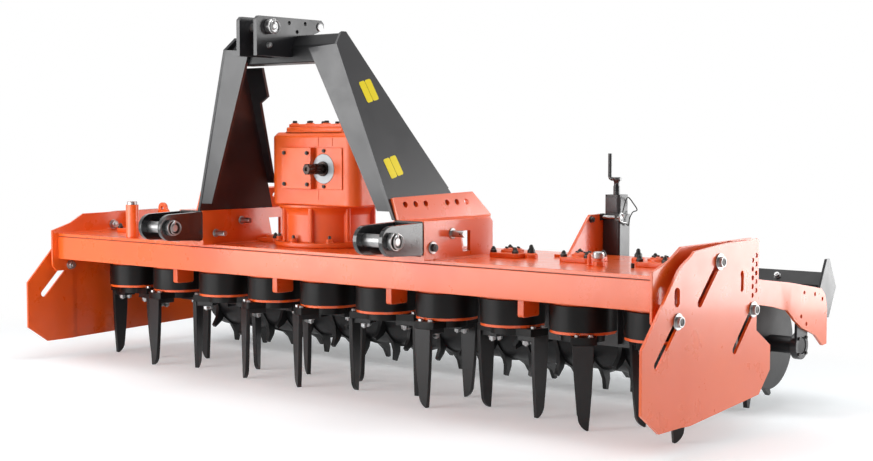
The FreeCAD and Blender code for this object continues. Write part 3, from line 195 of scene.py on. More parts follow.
class Surface(Graph):
    """A material's node tree, and what feeds its shader."""

    def __init__(self, name):
        self.material = bpy.data.materials.new(name)
        super().__init__(self.material)
        self.shader = self.nodes["Principled BSDF"]

    def drifting_colour(self, colours, scale, detail, wear):
        """Two close colours that drift into each other, and a third on the rubbed edges."""
        colour, shade, worn = colours
        drift = self.remap(self.noise(scale, detail), (0.35, 0.65))
        base = self.blend(drift, colour, shade)
        base = self.blend(self.edge_mask(wear), base, worn)
        self.link(base, self.shader.inputs["Base Color"])

    def uneven_gloss(self, pattern, smooth, rough):
        gloss = self.remap(self.noise(*pattern), (0.3, 0.7), (smooth, rough))
        self.link(gloss, self.shader.inputs["Roughness"])

    def relief(self, *layers):
        """Chained bumps from (noise, strength, distance) layers."""
        heights = [self.noise(*layer[0]) for layer in layers]
        normal = None
        for height, (strength, distance) in zip(heights, [layer[1:] for layer in layers]):
            node = self.nodes.new("ShaderNodeBump")
            put(node, Strength=strength, Distance=distance)
            self.link(height, node.inputs["Height"])
            if normal:
                self.link(normal, node.inputs["Normal"])
            normal = node.outputs["Normal"]
        self.link(normal, self.shader.inputs["Normal"])


def paint(name, colours, rough, coat=0.3, peel=0.12, shine=0.5):
    """Sprayed paint: slow colour drift, orange peel, uneven gloss and lightly rubbed edges."""
    surface = Surface(name)
    surface.drifting_colour(colours, 3.5, 4, wear=0.0025)
    surface.uneven_gloss((14, 6, 0.6), rough - 0.06, rough + 0.08)
    surface.relief(((420, 2), peel, 0.0004), ((90, 2), peel, 0.0009))
    put(surface.shader, Coat_Weight=coat, Coat_Roughness=0.12, Specular_IOR_Level=shine)
    return surface.material


def cast_paint(name, colours, rough):
    """The same paint over a sand casting."""
    surface = Surface(name)
    surface.drifting_colour(colours, 6, 5, wear=0.004)
    surface.uneven_gloss((22, 6, 0.6), rough - 0.05, rough + 0.12)
    surface.relief(((260, 4, 0.7), 0.35, 0.0006), ((45, 4), 0.25, 0.0016))
    put(surface.shader, Coat_Weight=0.15, Coat_Roughness=0.25)
    return surface.material


def plated(name, colour, tarnish, rough, grain=300, strength=0.12):
    """Zinc or bare steel: cloudy plating with a fine machined grain."""
    surface = Surface(name)
    cloud = surface.remap(surface.noise(40, 5), (0.35, 0.7))
    surface.link(surface.blend(cloud, colour, tarnish), surface.shader.inputs["Base Color"])
    surface.uneven_gloss((120, 4), rough - 0.08, rough + 0.1)
    surface.relief(((grain, 3), strength, 0.0003))
    put(surface.shader, Metallic=1.0)
    return surface.material


# Paints have three colours: the main one, the one it drifts to, and that of rubbed edges.
ORANGE = paint("orange_paint", ((0.84, 0.118, 0.012), (0.80, 0.100, 0.010), (0.86, 0.20, 0.05)),
               0.30, coat=0.5, peel=0.06)
ORANGE_CAST = cast_paint("orange_cast_paint", ((0.82, 0.112, 0.012), (0.74, 0.090, 0.010),
                                               (0.82, 0.2, 0.06)), 0.36)
BLACK = paint("black_paint", ((0.012, 0.012, 0.014), (0.017, 0.017, 0.019), (0.06, 0.06, 0.065)),
              0.36)
GLOSS_BLACK = paint("gloss_black_paint", ((0.008, 0.008, 0.009), (0.012, 0.012, 0.013),
                                          (0.05, 0.05, 0.05)), 0.22, coat=0.7)
BLADE = paint("blade_paint", ((0.009, 0.009, 0.010), (0.015, 0.014, 0.014), (0.07, 0.067, 0.063)),
              0.38, coat=0.05, peel=0.2, shine=0.35)
# painted shadow: a dark red-brown for the line of shade where the cover meets the trough
COVER_GAP_SHADE_PAINT = paint("painted_cover_gap_shade", ((0.16, 0.018, 0.008), (0.10, 0.012, 0.006), (0.2, 0.03, 0.01)),
                0.6, coat=0.0)
DRUM_BLACK = paint("drum_paint", ((0.005, 0.005, 0.005), (0.008, 0.008, 0.008),
                                  (0.03, 0.03, 0.03)), 0.34, coat=0.02, shine=0.2)
BEAM_BLACK = paint("beam_paint", ((0.008, 0.008, 0.009), (0.012, 0.012, 0.013),
                                  (0.05, 0.05, 0.05)), 0.42, coat=0.02, shine=0.32)
HEAD_GREY = paint("jack_grey_paint", ((0.05, 0.052, 0.058), (0.04, 0.042, 0.046),
                                      (0.12, 0.12, 0.12)), 0.4)
YELLOW = paint("yellow_vinyl", ((0.88, 0.74, 0.0), (0.85, 0.69, 0.0), (0.85, 0.74, 0.1)),
               0.45, coat=0.0, peel=0.05)
SEAL_GREY = paint("seal_grey", ((0.42, 0.44, 0.46), (0.36, 0.38, 0.40), (0.5, 0.5, 0.5)), 0.35)
SHAFT_STEEL = plated("shaft_steel", (0.055, 0.040, 0.036), (0.030, 0.024, 0.022), 0.30)
ZINC = plated("zinc_plate", (0.52, 0.52, 0.52), (0.34, 0.34, 0.34), 0.36, 180, 0.35)
STEEL = plated("dark_steel", (0.32, 0.31, 0.30), (0.22, 0.21, 0.20), 0.38)
# black oxide on bolts and nuts; the same dark colour is also painted shade inside holes and
# sockets
BLACK_OXIDE_AND_HOLE_SHADE = plated("black_oxide_and_hole_shade", (0.05, 0.05, 0.05), (0.09, 0.085, 0.08), 0.42)


# ---- mesh helpers
MERGE = 2e-5  # vertices closer than this are one
FLAT_ANGLE = 0.6  # faces that meet at less, in degrees, become one
ROUND_ANGLE = 28  # edges sharper than this are rounded
EDGE_PROFILE = 0.6  # fullness of a rounded edge


def finish_piece(bm, name, material, body):
    mesh = bpy.data.meshes.new(name)
    bm.to_mesh(mesh)
    bm.free()
    piece = new_object(name, mesh)
    mesh.materials.append(material)
    mesh.shade_smooth()
    modifier = piece.modifiers.new("normals", "WEIGHTED_NORMAL")
    modifier.weight = 60
    modifier.keep_sharp = True
    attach(piece, body)
    return piece


def skin(node, material, width):
    """A CAD node shown with rounded edges and a real material."""
    bm = bmesh.new()
    bm.from_mesh(NODES[node].data)
    bmesh.ops.remove_doubles(bm, verts=bm.verts, dist=MERGE)
    bmesh.ops.dissolve_limit(bm, angle_limit=math.radians(FLAT_ANGLE), verts=bm.verts,
                             edges=bm.edges)
    limit = math.radians(ROUND_ANGLE)
    sharp = [e for e in bm.edges if len(e.link_faces) == 2 and e.calc_face_angle(0) > limit]
    if sharp:
        bmesh.ops.bevel(bm, geom=sharp, offset=width, segments=2, profile=EDGE_PROFILE,
                        affect="EDGES", clamp_overlap=True)
    piece = finish_piece(bm, node + "_skin", material, BODY_OF[node])
    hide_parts(node)
    return piece


def standing(place, direction, turn=0.0):
    """A matrix that carries a part from the origin, its z axis along a direction."""
    facing = Vector(direction).to_track_quat("Z", "Y").to_matrix().to_4x4()
    return Matrix.Translation(place) @ facing @ Matrix.Rotation(turn, 4, "Z")


class Batch:
    """Many small parts of one kind gathered into one mesh."""

    def __init__(self, name, material, slot, body="frame"):
        self.bm = bmesh.new()
        self.name, self.material, self.body, self.slot = name, material, body, slot

    def lathe(self, place, direction, profile, count=24):
        """A closed turned part: profile of (radius, height) from its foot up the direction."""
        matrix = standing(place, direction)
        rings = []
        for radius, height in profile:
            steps = count if radius else 1
            rings.append([self.vertex(matrix, radius, 2 * math.pi * step / count, height)
                          for step in range(steps)])
        self.close(rings)

    def vertex(self, matrix, radius, a, height):
        point = Vector((radius * math.cos(a), radius * math.sin(a), height))
        return self.bm.verts.new(matrix @ point)

    def bridge(self, lower, upper):
        count = max(len(lower), len(upper))
        for step in range(count):
            after = (step + 1) % count
            if len(lower) == 1:
                self.bm.faces.new((lower[0], upper[step], upper[after])[::-1])
            elif len(upper) == 1:
                self.bm.faces.new((lower[step], lower[after], upper[0]))
            else:
                self.bm.faces.new((lower[step], lower[after], upper[after], upper[step]))

    def close(self, rings):
        """Walls between rings of vertices, and a face at each end that isn't a point."""
        for lower, upper in zip(rings, rings[1:]):
            self.bridge(lower, upper)
        for ring in (rings[0][::-1], rings[-1]):
            if len(ring) > 2:
                self.bm.faces.new(ring)

    def hexagon(self, place, direction, across, height, turn=0.0):
        """A hexagon head or nut with chamfered corners and a domed face."""
        corner = across / 2 / math.cos(math.pi / 6)
        cut = height * 0.12 * 2
        matrix = standing(place, direction, turn)
        outline = []
        for step in range(24):
            a = 2 * math.pi * step / 24
            from_flat = abs((a + math.pi / 6) % (math.pi / 3) - math.pi / 6)
            outline.append((a, across / 2 / math.cos(from_flat)))
        rings = []
        for level, limit in ((0, corner), (height - cut, corner),
                             (height - cut * 0.45, across / 2 * 1.05),
                             (height, across / 2 * 0.93)):
            rings.append([self.vertex(matrix, min(radius, limit), a, level)
                          for a, radius in outline])
        self.close(rings)

    def bolt(self, place, direction, across, turn=0.0, washer=True, stub=True):
        """Washer, hexagon and the end of the thread, standing on a face."""
        direction = Vector(direction).normalized()
        place = Vector(place)
        radius = across / 2
        lift = 0.0
        if washer:
            lift = across * 0.12
            rim = radius * 1.32
            disc = [(rim, 0), (rim, lift * 0.7), (rim * 0.97, lift), (radius * 0.6, lift)]
            self.lathe(place, direction, disc, 24)
        self.hexagon(place + direction * lift, direction, across, across * 0.52, turn)
        if stub:
            top = lift + across * 0.52
            thread = radius * 0.52
            end = [(thread, -0.001), (thread, across * 0.12), (thread * 0.8, across * 0.18)]
            self.lathe(place + direction * top, direction, end, 16)

    def tube(self, points, radius, count=12, closed=False):
        """A round bar along points, its ends closed or joined."""
        points = [Vector(p) for p in points]
        rings = []
        total = len(points)
        side = None
        for index, point in enumerate(points):
            before = points[index - 1] if index or closed else point
            after = points[(index + 1) % total] if index < total - 1 or closed else point
            along = (after - before).normalized()
            if side is None:
                side = along.orthogonal().normalized()
            side = (side - along * side.dot(along)).normalized()
            other = along.cross(side)
            rings.append(self.round_ring(point, side, other, radius, count))
        if closed:
            for lower, upper in zip(rings, rings[1:] + rings[:1]):
                self.bridge(lower, upper)
        else:
            self.close(rings)

    def round_ring(self, centre, side, other, radius, count):
        return [self.bm.verts.new(centre + radius * (side * math.cos(a) + other * math.sin(a)))
                for a in [2 * math.pi * s / count for s in range(count)]]

    def block(self, lower, upper, bevel):
        """A box between two corners, its edges rounded."""
        a, b = Vector(lower), Vector(upper)
        part = bmesh.new()
        bmesh.ops.create_cube(part, size=1.0)
        bmesh.ops.scale(part, vec=b - a, verts=part.verts)
        bmesh.ops.bevel(part, geom=part.edges[:], offset=bevel, segments=2,
                        profile=EDGE_PROFILE, affect="EDGES")
        bmesh.ops.transform(part, matrix=Matrix.Translation((a + b) / 2), verts=part.verts)
        self.add(part)

    def add(self, part):
        mesh = bpy.data.meshes.new("part")
        part.to_mesh(mesh)
        part.free()
        self.bm.from_mesh(mesh)
        bpy.data.meshes.remove(mesh)

    def done(self, smooth_angle=35):
        bmesh.ops.recalc_face_normals(self.bm, faces=self.bm.faces)
        piece = finish_piece(self.bm, self.name, self.material, self.body)
        piece.data.set_sharp_from_angle(angle=math.radians(smooth_angle))
        return piece


# ---- CAD nodes with rounded edges
DISC_BOTTOM, DISC_TOP = 0.2596, 0.2676  # the thin disc under a rotor's drum
DISC_MARGIN = 0.0004
DRESS = (  # material, width of rounded edges, and the nodes
    (ORANGE, 0.002, "gear_trough stone_lugs"),
    (ORANGE, 0.0015, "trough_cover trough_ends side_plate_right side_plate_left "
                     "hitch_bracket_right hitch_bracket_left roller_arm_right roller_arm_left "
                     "jack_gussets lifting_eye"),
    (ORANGE, 0.001, "depth_sectors marker_post"),
    (ORANGE_CAST, 0.002, "bearing_flanges"), (ORANGE_CAST, 0.0025, "bearing_caps"),
    (ORANGE_CAST, 0.004, "gearbox_column"), (ORANGE_CAST, 0.005, "gearbox_housing"),
    (ORANGE_CAST, 0.003, "gearbox_covers"),
    (BLACK, 0.004, "headstock_leg_right headstock_leg_left"),
    (BLACK, 0.0015, "top_link_bracket jack_tubes levelling_bar beam_ends"),
    (BLACK, 0.002, "roller_bearings"), (GLOSS_BLACK, 0.002, "hitch_clevises"),
    (BEAM_BLACK, 0.008, "headstock_crossbeam"), (BEAM_BLACK, 0.004, "roller_beam"),
    (BEAM_BLACK, 0.002, "packer_roller"), (BEAM_BLACK, 0.001, "scrapers"),
    (BLADE, 0.001, "packer_rings"), (SEAL_GREY, 0.001, "input_seal"),
    (ZINC, 0.001, "link_pins end_bolts"),
)


def dress_nodes():
    for material, width, nodes in DRESS:
        for node in nodes.split():
            skin(node, material, width)
    for index in range(1, ROTORS + 1):
        paint_disc(skin("rotor_%02d" % index, DRUM_BLACK, 0.002))
        skin("tine_pair_%02d" % index, BLADE, 0.0015)
    NODES["gear_train"].data.materials.clear()
    NODES["gear_train"].data.materials.append(STEEL)


def paint_disc(piece):
    """The thin disc under a rotor's drum is orange."""
    piece.data.materials.append(ORANGE)
    for face in piece.data.polygons:
        heights = [piece.data.vertices[v].co.z for v in face.vertices]
        if min(heights) > DISC_BOTTOM - DISC_MARGIN and max(heights) < DISC_TOP + DISC_MARGIN:
            face.material_index = 1


# ---- bolts, pins and other small hardware
# Profiles are of turned parts: (radius, height) in metres from the foot up.
BRACKET_MARGIN, BRACKET_REACH = 0.012, 0.09  # cover taken up round a hitch bracket's foot
CONE_NUT = [(0.0095, 0), (0.0095, 0.007), (0.0075, 0.0085), (0.0062, 0.013), (0.0030, 0.0175),
            (0, 0.0185)]
CAP_PAD = [(0.027, -0.001), (0.027, 0.002), (0.025, 0.0032), (0.012, 0.0036), (0.010, 0.0012)]
PAD_SCREW = [(0.0036, -0.001), (0.0036, 0.003), (0.0028, 0.0042)]
CAP_LEDGE = 0.008  # below a cap's top, where its nuts stand
CAP_NUT_CIRCLE, PAD_SCREW_CIRCLE = 0.056, 0.020  # radii
STUDS = ((694, -2), (-694, -2), (1010, 72), (-1010, 72))
STUD_FOOT = [(0.019, 0), (0.019, 0.010), (0.016, 0.014), (0.012, 0.015)]
STUD = [(0.0115, 0), (0.011, 0.008), (0.0065, 0.014), (0.006, 0.020), (0.0035, 0.024), (0, 0.025)]
PEGS = ((969, -107), (-969, -107))
PEG = [(0.0095, 0), (0.0095, 0.004), (0.0078, 0.005), (0.0066, 0.028), (0.004, 0.033), (0, 0.034)]
PLUG = [(0.005, 0), (0.005, 0.011), (0.0042, 0.013), (0, 0.0134)]
# the painted shadow line where the cover meets the trough
SHADE_LINE_DEPTH = 0.0112  # below the cover's top
SHADE_LINE_RADIUS, SHADE_LINE_PROUD, SHADE_LINE_INSET = 0.0014, 0.0004, 0.004


def covered(x, y):
    """Under a hitch bracket's foot."""
    for node in ("hitch_bracket_right", "hitch_bracket_left"):
        left, right = low(node).x - BRACKET_MARGIN, high(node).x + BRACKET_MARGIN
        if left < x < right and y < LINE_Y + BRACKET_REACH:
            return True
    return False


def cover_hardware():
    """Nuts and pads on the bearing caps, and the studs, pegs and plug on the cover."""
    dark = Batch("cap_nuts", BLACK_OXIDE_AND_HOLE_SHADE, "dark_steel")
    pads = Batch("cap_layers", ORANGE_CAST, "orange_paint")
    top = high("bearing_caps").z
    for index, centre in enumerate(rotor_middles()):
        if index == GEARBOX_ROTOR:
            continue
        for angle in (45, 135, 225, 315):
            place = turned(centre, CAP_NUT_CIRCLE, angle, top - CAP_LEDGE)
            if not covered(place.x, place.y):
                dark.lathe(place, UP, CONE_NUT, 16)
        if not covered(centre.x - 0.03, centre.y):
            pads.lathe(at_height(centre, top), UP, CAP_PAD, 32)
            for turn in range(6):
                place = turned(centre, PAD_SCREW_CIRCLE, 60 * turn + 15, top + 0.0034)
                dark.lathe(place, UP, PAD_SCREW, 10)
    for x, y in STUDS:
        pads.lathe(on_cover(x, y), UP, STUD_FOOT, 20)
        dark.lathe(on_cover(x, y) + UP * 0.0145, UP, STUD, 16)
    for x, y in PEGS:
        pads.lathe(on_cover(x, y), UP, PEG, 20)
    dark.lathe(on_cover(1093, -86), UP, PLUG, 14)
    dark.done()
    pads.done()


def painted_gap_line():
    """A painted shadow: the dark line of shade where the cover meets the trough, at the front and
    the rear.
    """
    shade_line = Batch("painted_cover_gap_shade", COVER_GAP_SHADE_PAINT, "orange_paint")
    end, level = TROUGH_HALF - SHADE_LINE_INSET, TROUGH_TOP - SHADE_LINE_DEPTH
    for y in (TROUGH_FRONT - SHADE_LINE_PROUD, TROUGH_REAR + SHADE_LINE_PROUD):
        shade_line.tube([Vector((-end, y, level)), Vector((end, y, level))], SHADE_LINE_RADIUS, 8)
    shade_line.done()


BREATHER_FOOT = [(0.0185, 0), (0.0185, 0.003), (0.015, 0.004)]
BREATHER_NECK = [(0.011, 0), (0.011, 0.008)]
BREATHER_CAP = [(0.0100, 0), (0.0150, 0.001), (0.0158, 0.0025), (0.0158, 0.013), (0.0146, 0.0168),
                (0.0098, 0.0192), (0, 0.0198)]
BREATHER_GRIP = 0.0155  # radius of the ribs round the cap


def breather():
    """A ribbed plated cap on an orange hexagon, in place of the plain stub."""
    foot = at_height(middle("oil_breather"), TROUGH_TOP)
    base = Batch("breather_base", ORANGE_CAST, "orange_paint")
    base.lathe(foot, UP, BREATHER_FOOT, 24)
    base.hexagon(foot + UP * 0.0035, UP, 0.030, 0.012, 0.3)
    base.lathe(foot + UP * 0.015, UP, BREATHER_NECK, 20)
    piece = base.done()
    cap = Batch("breather_cap", ZINC, "zinc_steel")
    cap.lathe(foot + UP * 0.0215, UP, BREATHER_CAP, 32)
    for turn in range(12):
        a = math.radians(30 * turn)
        side = Vector((math.cos(a), math.sin(a), 0))
        start = foot + side * BREATHER_GRIP + UP * 0.0255
        cap.tube([start, start + UP * 0.0085], 0.0008, 6)
    cap.done()
    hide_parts("oil_breather")


FLANGE_RIM = 0.014  # of a bearing flange, under the trough
FLANGE_BOLT_CIRCLE = 0.0935


def flange_bolts():
    """Heads round each bearing flange, seen from below."""
    heads = Batch("flange_bolts", ORANGE_CAST, "orange_paint")
    under = low("gear_trough").z - FLANGE_RIM
    for centre in rotor_middles():
        for turn in range(12):
            place = turned(centre, FLANGE_BOLT_CIRCLE, 30 * turn + 15, under)
            heads.hexagon(place, DOWN, 0.0105, 0.0085, 0.4 * turn)
    heads.done()


HOLDER_THICKNESS, TINE_FOOT = 0.022, 0.016
HOLDER_REACH = 0.11  # a holder's corners further out than this are its arms'
HEAD_CIRCLE, HEAD_ANGLE = 0.1055, 10.5  # radius, and degrees either side of an arm
NUT_CIRCLE, NUT_ANGLE = 0.072, 11


def rotor_hardware():
    """Plated bolts through each tine holder: heads on top, nuts under the tine's foot."""
    for index, centre in enumerate(rotor_middles(), 1):
        name = "rotor_%02d" % index
        holder_top = low(name).z + HOLDER_THICKNESS
        holder = [v.co for v in NODES[name].data.vertices if v.co.z < holder_top + 0.0005]
        angle = arm_direction(holder, centre)
        bolts = Batch("rotor_bolts_%02d" % index, ZINC, "zinc_steel", name + "_body")
        for end in (0, 180):
            for side in (-1, 1):
                top = turned(centre, HEAD_CIRCLE, angle + end + side * HEAD_ANGLE, holder_top)
                bolts.bolt(top, UP, 0.0135, 0.3 * side, washer=False, stub=False)
                under = turned(centre, NUT_CIRCLE, angle + end + side * NUT_ANGLE,
                               low(name).z - TINE_FOOT)
                bolts.bolt(under, DOWN, 0.019, 0.2 * side)
        bolts.done()


def arm_direction(points, centre):
    """The direction of a rotor's arms, in degrees, from the corners furthest out."""
    sum_x = sum_y = 0.0
    for point in points:
        x, y = point.x - centre.x, point.y - centre.y
        if math.hypot(x, y) < HOLDER_REACH:
            continue
        a = 2 * math.atan2(y, x)
        sum_x += math.cos(a)
        sum_y += math.sin(a)
    return math.degrees(math.atan2(sum_y, sum_x) / 2)


COVER_BOLTS = ((-157, 757), (-55, 757), (-157, 659), (-55, 659))  # x and z
FRONT_BOLTS = ((3, 764), (3, 653))
LID_INSET = 0.018  # of the lid's bolts from its sides
LID_FRONT, LID_REAR, LID_BETWEEN = -0.108, 0.086, (-0.044, 0.022)  # behind the rotor line
LID_PAD = [(0.0125, -0.001), (0.0125, 0.0015), (0.0105, 0.003), (0.0085, 0.0032)]
COLUMN_FLARE = [(0.1455, -0.034), (0.1475, -0.026), (0.152, -0.017), (0.160, -0.010),
                (0.164, -0.007), (0.164, -0.0004)]
COLUMN_FLANGE, COLUMN_BOLT_CIRCLE = 0.016, 0.1605
FLANGE_PAD = [(0.0135, -0.001), (0.0135, 0.002), (0.010, 0.0032)]
FLANGE_THREAD = [(0.0052, 0), (0.0052, 0.008), (0.0035, 0.0105)]
SEAM_X, SEAM_HALF, SEAM_TOP, SEAM_FOOT = -0.0265, 0.0022, 0.640, 0.778  # casting seam
HUB_Y, HUB_Z, HUB_BOLT_CIRCLE = 0.055, 0.702, 0.045
HUB = [(0.058, -0.001), (0.058, 0.004), (0.055, 0.0065), (0.030, 0.0065), (0.028, 0.010),
       (0.010, 0.0105)]


def gearbox_hardware():
    """Bolts, pads, seams and the side hub of the gearbox, and the bolts of its column."""
    dark = Batch("gearbox_bolts", BLACK_OXIDE_AND_HOLE_SHADE, "dark_steel")
    cast = Batch("gearbox_casting", ORANGE_CAST, "orange_paint")
    front, side = low("gearbox_housing").y, high("gearbox_housing").x
    foot, crown = low("gearbox_housing").z, high("gearbox_housing").z
    for x, z in COVER_BOLTS:
        place = Vector((x * MM, low("gearbox_covers").y, z * MM))
        dark.bolt(place, FORWARD, 0.0115, 0.2, washer=False)
    for x, z in FRONT_BOLTS:
        dark.bolt(Vector((x * MM, front - 0.004, z * MM)), FORWARD, 0.0105, 0.5, washer=False)
    for x, y in lid_ring():
        place = Vector((x, LINE_Y + y, high("gearbox_covers").z))
        cast.lathe(place, UP, LID_PAD, 18)
        dark.hexagon(place + UP * 0.003, UP, 0.013, 0.0075, 0.3)
    column = at_height(middle("gearbox_column"), 0)
    cast.lathe(column + UP * foot, UP, COLUMN_FLARE, 64)
    for turn in range(8):
        place = turned(column, COLUMN_BOLT_CIRCLE, 45 * turn, TROUGH_TOP + COLUMN_FLANGE)
        cast.lathe(place, UP, FLANGE_PAD, 18)
        cast.hexagon(place + UP * 0.003, UP, 0.0175, 0.010, 0.4)
        dark.lathe(place + UP * 0.012, UP, FLANGE_THREAD, 12)
    for z0, z1 in ((foot + 0.018, SEAM_TOP), (SEAM_FOOT, crown - 0.032)):
        cast.block((SEAM_X - SEAM_HALF, front - 0.0016, z0),
                   (SEAM_X + SEAM_HALF, front + 0.001, z1), bevel=0.0007)
    cast.block((0.002, front - 0.0018, 0.779), (0.036, front + 0.001, 0.806), bevel=0.0008)
    cast.block((side - 0.001, LINE_Y - 0.020, foot + 0.03),
               (side + 0.004, LINE_Y - 0.008, 0.79), bevel=0.0015)
    hub = Vector((side, LINE_Y + HUB_Y, HUB_Z))
    cast.lathe(hub, RIGHT, HUB, 48)
    for turn in range(6):
        a = math.radians(60 * turn + 30)
        place = hub + Vector((0.006, HUB_BOLT_CIRCLE * math.cos(a), HUB_BOLT_CIRCLE * math.sin(a)))
        dark.bolt(place, RIGHT, 0.0095, 0.2, washer=False, stub=False)
    dark.done()
    cast.done()


def lid_ring():
    """Places of the lid's bolts: x, and y behind the rotor line."""
    verts = [v.co for v in NODES["gearbox_covers"].data.vertices]
    top = max(co.z for co in verts)
    across = [co.x for co in verts if co.z > top - 0.002]
    left, right = min(across) + LID_INSET, max(across) - LID_INSET
    ring = []
    for step in range(4):
        x = left + (right - left) * step / 3
        ring += [(x, LID_FRONT), (x, LID_REAR)]
    return ring + [(x, y) for x in (left, right) for y in LID_BETWEEN]


SPLINES, SPLINE_FACETS, SPLINE_ROOT = 6, 72, 0.84
COLLAR_STEP = 0.005  # from the collar down to the splines
GROOVE = (0.036, 0.034, 0.026, 0.024)  # locking groove, from the shaft's tip


def splined_shaft():
    """Six splines with a locking groove near the tip and a centre hole."""
    a, b = low("input_shaft"), high("input_shaft")
    axis = middle("input_shaft")
    collar = (b.x - a.x) / 2
    outer = collar - COLLAR_STEP
    inner = outer * SPLINE_ROOT
    length = b.y - a.y
    shaft = Batch("splined_shaft", SHAFT_STEEL, "dark_steel", BODY_OF["input_shaft"])

    def ring(depth, top, bottom):
        ring_verts = []
        for step in range(SPLINE_FACETS):
            angle = 2 * math.pi * step / SPLINE_FACETS
            blend = min(1.0, max(0.0, math.cos(SPLINES * angle) * 3.2 + 0.5))
            radius = bottom + (top - bottom) * blend
            place = (axis.x + radius * math.cos(angle), b.y - depth,
                     axis.z + radius * math.sin(angle))
            ring_verts.append(shaft.bm.verts.new(place))
        return ring_verts

    groove = [length - back for back in GROOVE]
    stations = [(0, collar, collar), (0.0115, collar, collar),
                (0.013, collar * 0.96, collar * 0.96), (0.0131, outer, inner),
                (groove[0], outer, inner), (groove[1], inner, inner), (groove[2], inner, inner),
                (groove[3], outer, inner), (length - 0.003, outer, inner),
                (length, outer * 0.86, inner * 0.93), (length, 0.0065, 0.0065),
                (length - 0.005, 0.0035, 0.0035)]
    shaft.close([ring(*station) for station in stations])
    piece = shaft.done(30)
    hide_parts("input_shaft")


LINK_Y, LINK_Z = -415, 520  # of the lower link pins
LOWER_FACE = [(0.0225, -0.001), (0.0222, 0.0006), (0.0125, 0.0008)]
LOWER_TIP = [(0.0115, -0.001), (0.0115, 0.0035), (0.0095, 0.0050), (0.004, 0.0052)]
LOWER_HEAD = [(0.018, -0.001), (0.016, 0.002), (0.007, 0.0025), (0, 0.001)]
TOP_FACE = [(0.0195, -0.001), (0.0192, 0.0006), (0.0110, 0.0008)]
TOP_TIP = [(0.0105, -0.001), (0.0105, 0.0035), (0.0085, 0.0050), (0.004, 0.0052)]
TOP_BOSS = [(0.0125, -0.001), (0.0125, 0.003), (0.011, 0.004), (0.005, 0.0042)]
RING_WIRE, RING_LEAN = 0.0022, 0.25


def linch_ring(batch, place, radius):
    """A ring hanging from a pin's end, and the small peg that it holds."""
    down = Vector((0, RING_LEAN, -1)).normalized()
    side = Vector((0, 1, RING_LEAN)).normalized()
    points = []
    for step in range(30):
        a = 2 * math.pi * step / 30
        points.append(place + down * radius * (1 - math.cos(a)) + side * radius * math.sin(a))
    batch.tube(points, RING_WIRE, 8, closed=True)
    batch.tube([place + UP * 0.006, place - UP * 0.006], 0.0038, 12)


def link_hardware():
    """Rings and pegs on the three link pins, and bolts on the top link plates."""
    ring = Batch("linch_rings", ZINC, "zinc_steel")
    dark = Batch("pin_centres", BLACK_OXIDE_AND_HOLE_SHADE, "dark_steel")
    for x in (543, -401):
        head = spot(x, LINK_Y, LINK_Z)
        dark.lathe(head, RIGHT, LOWER_FACE, 28)
        ring.lathe(head, RIGHT, LOWER_TIP, 24)
        linch_ring(ring, head + Vector((0.0035, 0, 0.0185)), 0.0195)
    for x in (-546, 398):
        ring.lathe(spot(x, LINK_Y, LINK_Z), LEFT, LOWER_HEAD, 24)
    head = spot(60, LINK_Y, 1130)
    dark.lathe(head, RIGHT, TOP_FACE, 28)
    ring.lathe(head, RIGHT, TOP_TIP, 24)
    linch_ring(ring, head + Vector((0.0035, 0, 0.016)), 0.0175)
    for side in (1, -1):
        ring.lathe(spot(44 * side, -208, 1140), RIGHT * side, TOP_BOSS, 22)
    for side in (1, -1):
        ring.bolt(spot(44 * side, -419, 1076), RIGHT * side, 0.014, 0.3)
        ring.bolt(spot(30 * side, -402, 1076), LEFT * side, 0.014, 0.3)
    ring.bolt(spot(21, -326.6, 1059), FORWARD, 0.012, 0.2)
    ring.done()
    dark.done()


WALL_WASHER = [(0.018, 0), (0.018, 0.003), (0.0165, 0.0042), (0.008, 0.0042)]
WALL_THREAD = [(0.006, -0.001), (0.006, 0.0012), (0.0045, 0.002)]
STOP_PIN = [(0.016, 0), (0.016, 0.002), (0.0145, 0.003), (0.0098, 0.003), (0.0098, 0.043),
            (0.0083, 0.0458), (0, 0.0458)]
CROSS_HOLE_SHADE = [(0.0028, 0), (0.0028, 0.0202)]  # painted shade: dark rods through a stop pin stand for the shade inside its holes
INNER_PINS = ((-240, 496, 0.047), (-128, 533, 0.041))  # y and z, and length in metres


def wall_bolts():
    """Bolts and stop pins on the hitch brackets' walls, in place of the plain rods."""
    zinc = Batch("bracket_hardware", ZINC, "zinc_steel")
    dark = Batch("bracket_heads_and_hole_shade", BLACK_OXIDE_AND_HOLE_SHADE, "dark_steel")
    for side in (1, -1):
        wall = RIGHT * side
        outer = high("hitch_bracket_right").x * 1000 * side
        inner = low("hitch_bracket_right").x * 1000 * side
        place = spot(outer, -249, 494)
        zinc.lathe(place, wall, WALL_WASHER, 32)
        dark.hexagon(place + wall * 0.004, wall, 0.0215, 0.0095, 0.35)
        dark.lathe(place + wall * 0.0134, wall, WALL_THREAD, 16)
        pin = spot(outer, -161, 530)
        zinc.lathe(pin, wall, STOP_PIN, 28)
        # painted shade: dark rods show the shade inside the holes across each stop pin
        for along in (UP, FORWARD):
            dark.lathe(pin + wall * 0.036 - along * 0.0101, along, CROSS_HOLE_SHADE, 14)
        for y, z, length in INNER_PINS:
            profile = [(0.0135, 0), (0.0135, 0.002), (0.0125, 0.003), (0.0088, 0.003),
                       (0.0088, length - 0.002), (0.0074, length), (0, length)]
            zinc.lathe(spot(inner, y, z), -wall, profile, 28)
    piece = zinc.done()
    dark.done()
    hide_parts("bracket_bolts")


GUIDES = ((1, 481, 0), (185, 339, 0), (-193, 341, 0.008))  # y and z, and how far in, in metres
